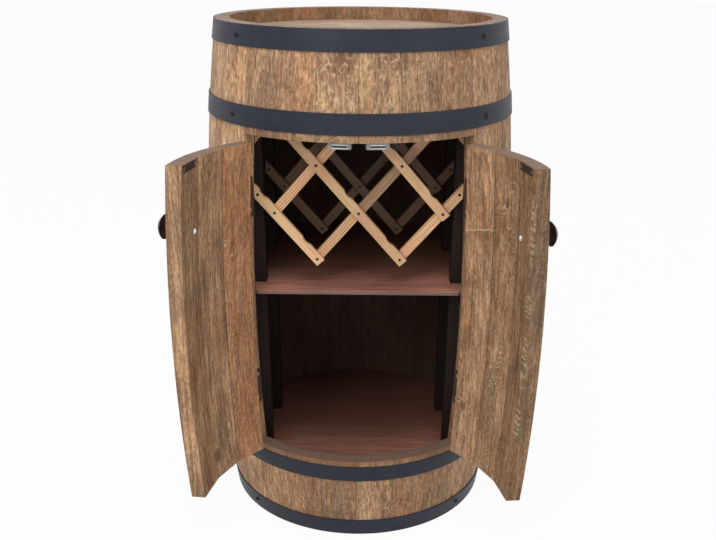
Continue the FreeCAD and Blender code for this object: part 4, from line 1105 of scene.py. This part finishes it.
FLOOR_SIZE = 30.0
FLOOR_ROUGHNESS = 0.9
FLOOR_SPECULAR = 0.1
FLOOR_GLOW = 0.93
WHITE = (1, 1, 1)
SENSOR_WIDTH = 36.0
# Each lamp's setting, place and size.
LAMPS = (
    ("key", (-1.3, -2.3, 2.0), 1.4),
    ("fill", (1.9, -1.7, 1.1), 1.6),
    ("top", (0, -1.3, 2.3), 1.2),
)


def area_lamp(name, place, size, power):
    """Square soft lamp aimed at the middle of the barrel."""
    data = bpy.data.lights.new(name, "AREA")
    data.shape = "SQUARE"
    data.size = size
    data.energy = power
    lamp = bpy.data.objects.new(name, data)
    lamp.location = place
    aim = Vector((0, 0, BARREL_HEIGHT / 2)) - Vector(place)
    lamp.rotation_euler = aim.to_track_quat("-Z", "Y").to_euler()
    bpy.context.scene.collection.objects.link(lamp)


def seen_directly(wires):
    """1 for rays from the camera or by way of a mirror or glass, else 0."""
    paths = wires.add("ShaderNodeLightPath").outputs
    reflected = wires.larger(paths["Is Glossy Ray"], paths["Is Transmission Ray"])
    return wires.larger(paths["Is Camera Ray"], reflected)


def floor_material(settings):
    """Pale floor that takes soft shadows and glows evenly to the camera."""
    material, wires, shader = start_material("studio_floor")
    wires.feed_all(shader.inputs, {
        "Base Color": settings.floor, "Roughness": FLOOR_ROUGHNESS,
        "Specular IOR Level": FLOOR_SPECULAR,
    })
    glow = wires.add("ShaderNodeEmission", {"Color": WHITE, "Strength": 1.0})
    glowing = wires.product(seen_directly(wires), FLOOR_GLOW)
    blend = wires.add("ShaderNodeMixShader", (glowing, shader.outputs[0], glow.outputs[0]))
    output = next(node for node in material.node_tree.nodes if node.type == "OUTPUT_MATERIAL")
    wires.feed(output.inputs["Surface"], blend.outputs[0])
    return material


def studio_world(settings):
    """Even surroundings, white to the camera."""
    world = bpy.data.worlds.new("studio")
    world.use_nodes = True
    world.node_tree.nodes.clear()
    wires = Wiring(world.node_tree)
    shown = seen_directly(wires)
    strength = wires.total(settings.sky, (shown, 1.0 - settings.sky))
    sky = wires.add("ShaderNodeBackground", {"Color": WHITE, "Strength": strength})
    wires.add("ShaderNodeOutputWorld", {"Surface": sky.outputs[0]})
    return world


def placed_camera(settings):
    """Camera that stands before the barrel, turned, tilted and rolled."""
    data = bpy.data.cameras.new("camera")
    data.sensor_width = SENSOR_WIDTH
    data.lens = settings.focal * SENSOR_WIDTH
    data.shift_x = (PICTURE_WIDTH / 2 - settings.centre_x) / PICTURE_WIDTH
    data.shift_y = (settings.centre_y - PICTURE_HEIGHT / 2) / PICTURE_WIDTH
    camera = bpy.data.objects.new("camera", data)
    camera.matrix_world = (
        Matrix.Rotation(settings.camera_turn, 4, "Z")
        @ Matrix.Translation((0, -settings.camera_distance, settings.camera_height))
        @ Matrix.Rotation(math.pi / 2 - settings.camera_pitch, 4, "X")
        @ Matrix.Rotation(settings.camera_roll, 4, "Z")
    )
    return camera


class BARREL_OT_stage(bpy.types.Operator):
    """Set up the floor, the lamps, the surroundings and the camera"""

    bl_idname = "barrel.stage"
    bl_label = "Stage"

    def execute(self, context):
        scene = context.scene
        settings = scene.barrel_stage
        bpy.ops.object.select_all(action="DESELECT")
        bpy.ops.mesh.primitive_plane_add(size=FLOOR_SIZE, location=(0, 0, 0))
        floor = context.active_object
        floor.name = "studio_floor"
        floor.data.materials.append(floor_material(settings))
        scene.world = studio_world(settings)
        for name, place, size in LAMPS:
            area_lamp(f"{name}_lamp", place, size, getattr(settings, name))
        camera = placed_camera(settings)
        scene.collection.objects.link(camera)
        scene.camera = camera
        scene.view_settings.view_transform = "Standard"
        return {"FINISHED"}


# --- Add-on ---

OPERATORS = (
    BARREL_OT_stage,
    BARREL_OT_staves,
    BARREL_OT_doors,
    BARREL_OT_heads,
    BARREL_OT_metal,
    BARREL_OT_joinery,
    BARREL_OT_racks,
    BARREL_OT_fittings,
)
SETTINGS = {
    "barrel_oak": OakSettings,
    "barrel_steel": SteelSettings,
    "barrel_joinery": JoinerySettings,
    "barrel_stage": StageSettings,
}


class BARREL_PT_panel(bpy.types.Panel):
    """Steps that finish the cabinet"""

    bl_idname = "BARREL_PT_panel"
    bl_label = "Barrel Bar Cabinet"
    bl_space_type = "VIEW_3D"
    bl_region_type = "UI"
    bl_category = "Barrel"

    def draw(self, context):
        column = self.layout.column()
        for operator in OPERATORS:
            column.operator(operator.bl_idname)


def register():
    """Register settings, operators and panel."""
    for name, kind in SETTINGS.items():
        bpy.utils.register_class(kind)
        setattr(bpy.types.Scene, name, PointerProperty(type=kind))
    for operator in OPERATORS:
        bpy.utils.register_class(operator)
    bpy.utils.register_class(BARREL_PT_panel)


def unregister():
    """Take everything out again."""
    bpy.utils.unregister_class(BARREL_PT_panel)
    for operator in reversed(OPERATORS):
        bpy.utils.unregister_class(operator)
    for name, kind in SETTINGS.items():
        delattr(bpy.types.Scene, name)
        bpy.utils.unregister_class(kind)


def main():
    """Run every step in order."""
    register()
    for operator in OPERATORS:
        step = operator.bl_idname.split(".")[1]
        getattr(bpy.ops.barrel, step)()


if __name__ == "__main__":
    main()
